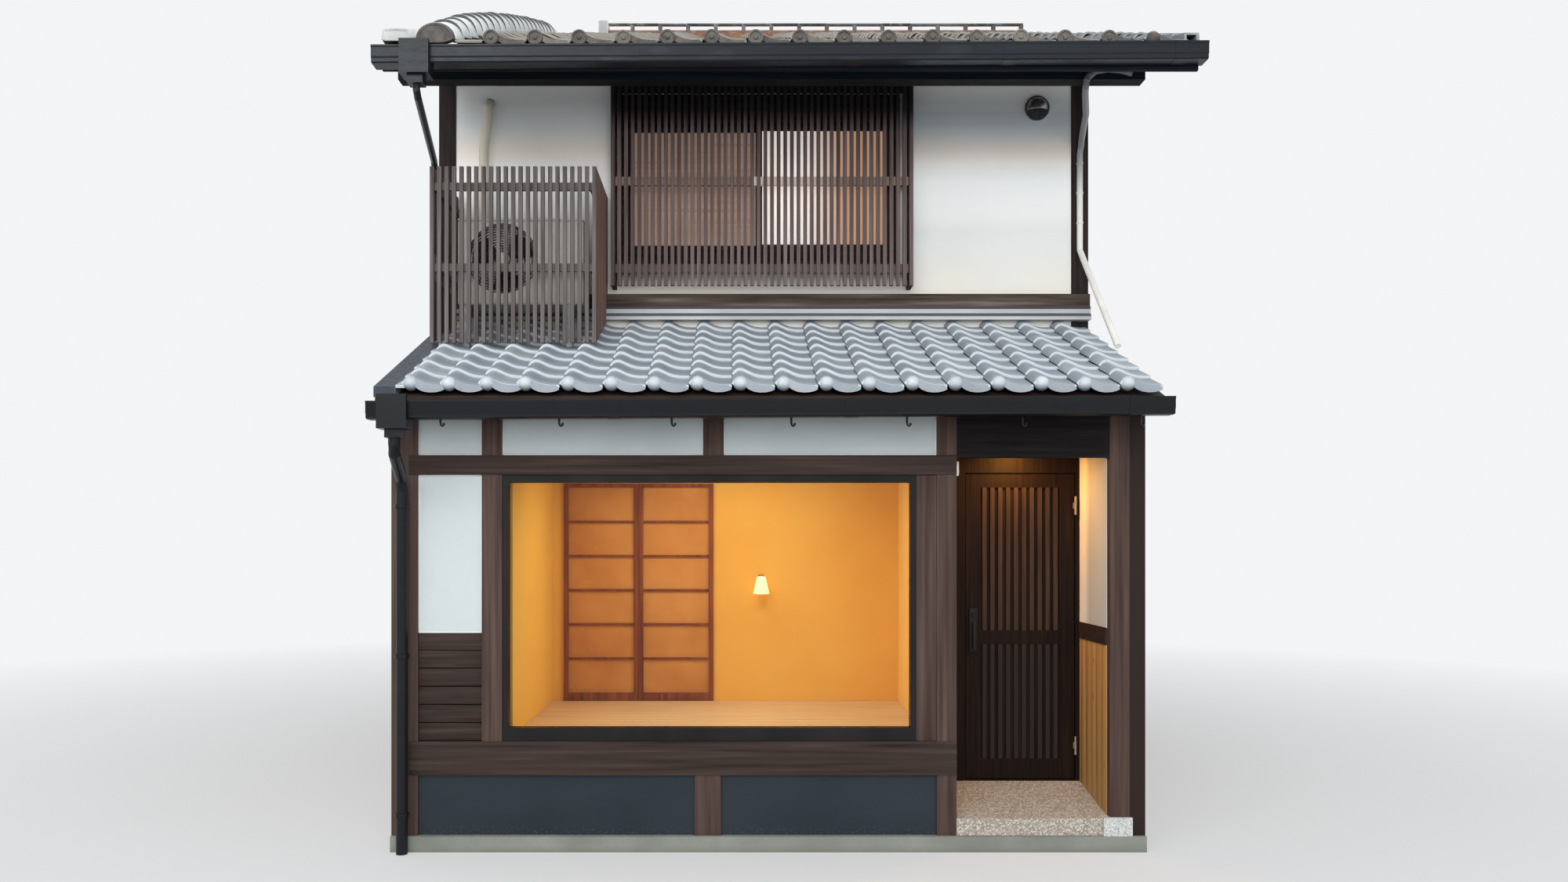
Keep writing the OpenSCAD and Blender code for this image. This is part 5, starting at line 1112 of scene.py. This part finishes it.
gutters_low, gutters_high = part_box("gutters")
lower_end, lower_top, lower_fall, lower_sleeves = 2.3245, 2.713, 0.006, (-0.9, 0.47, 2.1)
upper_in, upper_y, upper_top, upper_fall = 0.002, -3.769, 4.794, 0.005
upper_sleeves = (-0.8, 0.49, 1.4, 2.40)
lower_gutter = gutter("lower_gutter", -lower_end, lower_end, gutters_low.y, lower_top, lower_fall,
                      lower_sleeves)
fit(lower_gutter, charcoal)
upper_gutter = gutter("front_upper_gutter", gutters_low.x + upper_in, gutters_high.x - upper_in,
                      upper_y, upper_top, upper_fall, upper_sleeves)
fit(at_rear(upper_gutter, "rear_upper_gutter"), charcoal, smooth=25)
fit(upper_gutter, charcoal, ["gutters"], smooth=25)
hook_y, hook_wire, hook_places = -3.80, 0.0065, (-1.909, -1.222, -0.570, 0.122, 0.792, 1.461, 2.144)
hook_line = [(0, 2.640), (0, 2.580), (0.004, 2.566), (0.013, 2.562), (0.020, 2.569), (0.021, 2.580)]
hooks = [wire("hook", [(x + u, hook_y, z) for u, z in hook_line], hook_wire) for x in hook_places]
fit(joined("gutter_hooks", hooks), black_metal)
pipe_x, pipe_y, collar_levels = -2.222, -3.476, (0.239, 1.2, 2.104)
collar_line = [(0.0352, -0.014), (0.041, -0.012), (0.042, 0), (0.041, 0.012), (0.0352, 0.014)]
collars = [turned("collar", collar_line, (pipe_x, pipe_y, z), 24) for z in collar_levels]
stub_half, stub_tall, stub_front, stub_back = 0.012, 0.010, -3.445, -3.4085
stubs = [board("stub", (pipe_x - stub_half, stub_front, z - stub_tall),
               (pipe_x + stub_half, stub_back, z + stub_tall)) for z in collar_levels]
fit(joined("pipe_collars", collars + stubs), charcoal)
dress(charcoal, "rain_hoppers", "downpipes")

# Studio: a pale floor and even, soft light. One large lamp stands in front and to the left, a
# second straight in front is kept out of mirrors and glass, and warm lamps hang in the display
# room and over the entrance. The floor and the background fade into one pale tone.


def rays_of(tree, *kinds):
    """1 for a ray of one of these kinds, 0 for any other."""
    rays = tree.nodes.new("ShaderNodeLightPath")
    found = rays.outputs[kinds[0]]
    for kind in kinds[1:]:
        either = tree.nodes.new("ShaderNodeMath")
        either.operation = "MAXIMUM"
        tree.links.new(found, either.inputs[0])
        tree.links.new(rays.outputs[kind], either.inputs[1])
        found = either.outputs[0]
    return found


def lamp(name, place, aim, size, power, colour, mirrored=True):
    """A square area lamp that points from its place to its aim."""
    data = bpy.data.lights.new(name, "AREA")
    data.size, data.energy, data.color = size, power, colour
    light = bpy.data.objects.new(name, data)
    light.location = place
    light.rotation_euler = (Vector(aim) - Vector(place)).to_track_quat("-Z", "Y").to_euler()
    light.visible_camera, light.visible_glossy, light.visible_transmission = False, mirrored, mirrored
    bpy.context.scene.collection.objects.link(light)


# The camera stands 1.9 m up and 7.3 m before the shop front, and looks straight at it
camera_data = bpy.data.cameras.new("camera")
camera_data.sensor_width, camera_data.lens = 36, 27.6
camera_data.shift_x, camera_data.shift_y = 0.0315, 0.064
camera_data.clip_end = 200
camera = bpy.data.objects.new("camera", camera_data)
camera.location, camera.rotation_euler = (-0.206, -10.758, 1.894), (math.pi / 2, 0, 0)
bpy.context.scene.collection.objects.link(camera)
bpy.context.scene.camera = camera

floor_wide, just_under = 160, -0.001
studio_white, studio_glow = (0.97, 0.985, 1.0, 1), 0.92
near, far, near_glow, far_glow = 3.0, 14.0, 0.4, 1.0
bpy.ops.object.select_all(action="DESELECT")
bpy.ops.mesh.primitive_plane_add(size=floor_wide, location=(0, 0, just_under))
floor = bpy.context.active_object
floor.name = "floor"
bpy.ops.object.transform_apply(location=True)
floor_finish = new_finish("studio_floor", [(188, 188, 188), (192, 192, 192)], 3.0,
                          rough=(0.9, 0.95), depth=0.0)
tree = floor_finish.node_tree
glow = tree.nodes.new("ShaderNodeEmission")
glow.inputs["Color"].default_value = studio_white
glow.inputs["Strength"].default_value = studio_glow
place, distance = tree.nodes.new("ShaderNodeTexCoord"), tree.nodes.new("ShaderNodeVectorMath")
distance.operation = "LENGTH"
tree.links.new(place.outputs["Object"], distance.inputs[0])
fade = between(floor_finish, distance.outputs["Value"], near, far, near_glow, far_glow)
looked_at = rays_of(tree, "Is Camera Ray", "Is Glossy Ray")
blend = tree.nodes.new("ShaderNodeMixShader")
tree.links.new(times(floor_finish, looked_at, fade), blend.inputs[0])
tree.links.new(tree.nodes["Principled BSDF"].outputs[0], blend.inputs[1])
tree.links.new(glow.outputs[0], blend.inputs[2])
tree.links.new(blend.outputs[0], tree.nodes["Material Output"].inputs["Surface"])
floor.data.materials.append(floor_finish)

world = bpy.data.worlds.new("studio")
bpy.context.scene.world = world
world.use_nodes = True
backdrop, unseen_glow = world.node_tree.nodes["Background"], 0.75
seen = rays_of(world.node_tree, "Is Camera Ray", "Is Glossy Ray", "Is Transmission Ray")
strength = between(world, seen, 0, 1, unseen_glow, studio_glow)
world.node_tree.links.new(strength, backdrop.inputs["Strength"])
backdrop.inputs["Color"].default_value = studio_white

lamp("soft_key", (-6, -15, 10), (0, -3, 3), 9, 950, (1.0, 0.995, 0.98))
lamp("front_fill", (1, -16, 5.0), (0, -2, 4.8), 7, 1120, (0.98, 0.99, 1.0), mirrored=False)
lamp("room_lamp", (-0.25, -2.35, 2.49), (-0.25, -2.0, 0.7), 1.4, 35, (1.0, 0.84, 0.60))
lamp("entrance_lamp", (1.62, -2.97, 2.495), (1.66, -2.90, 0.3), 0.16, 10, (1.0, 0.44, 0.09))
bpy.context.scene.view_settings.view_transform = "Standard"
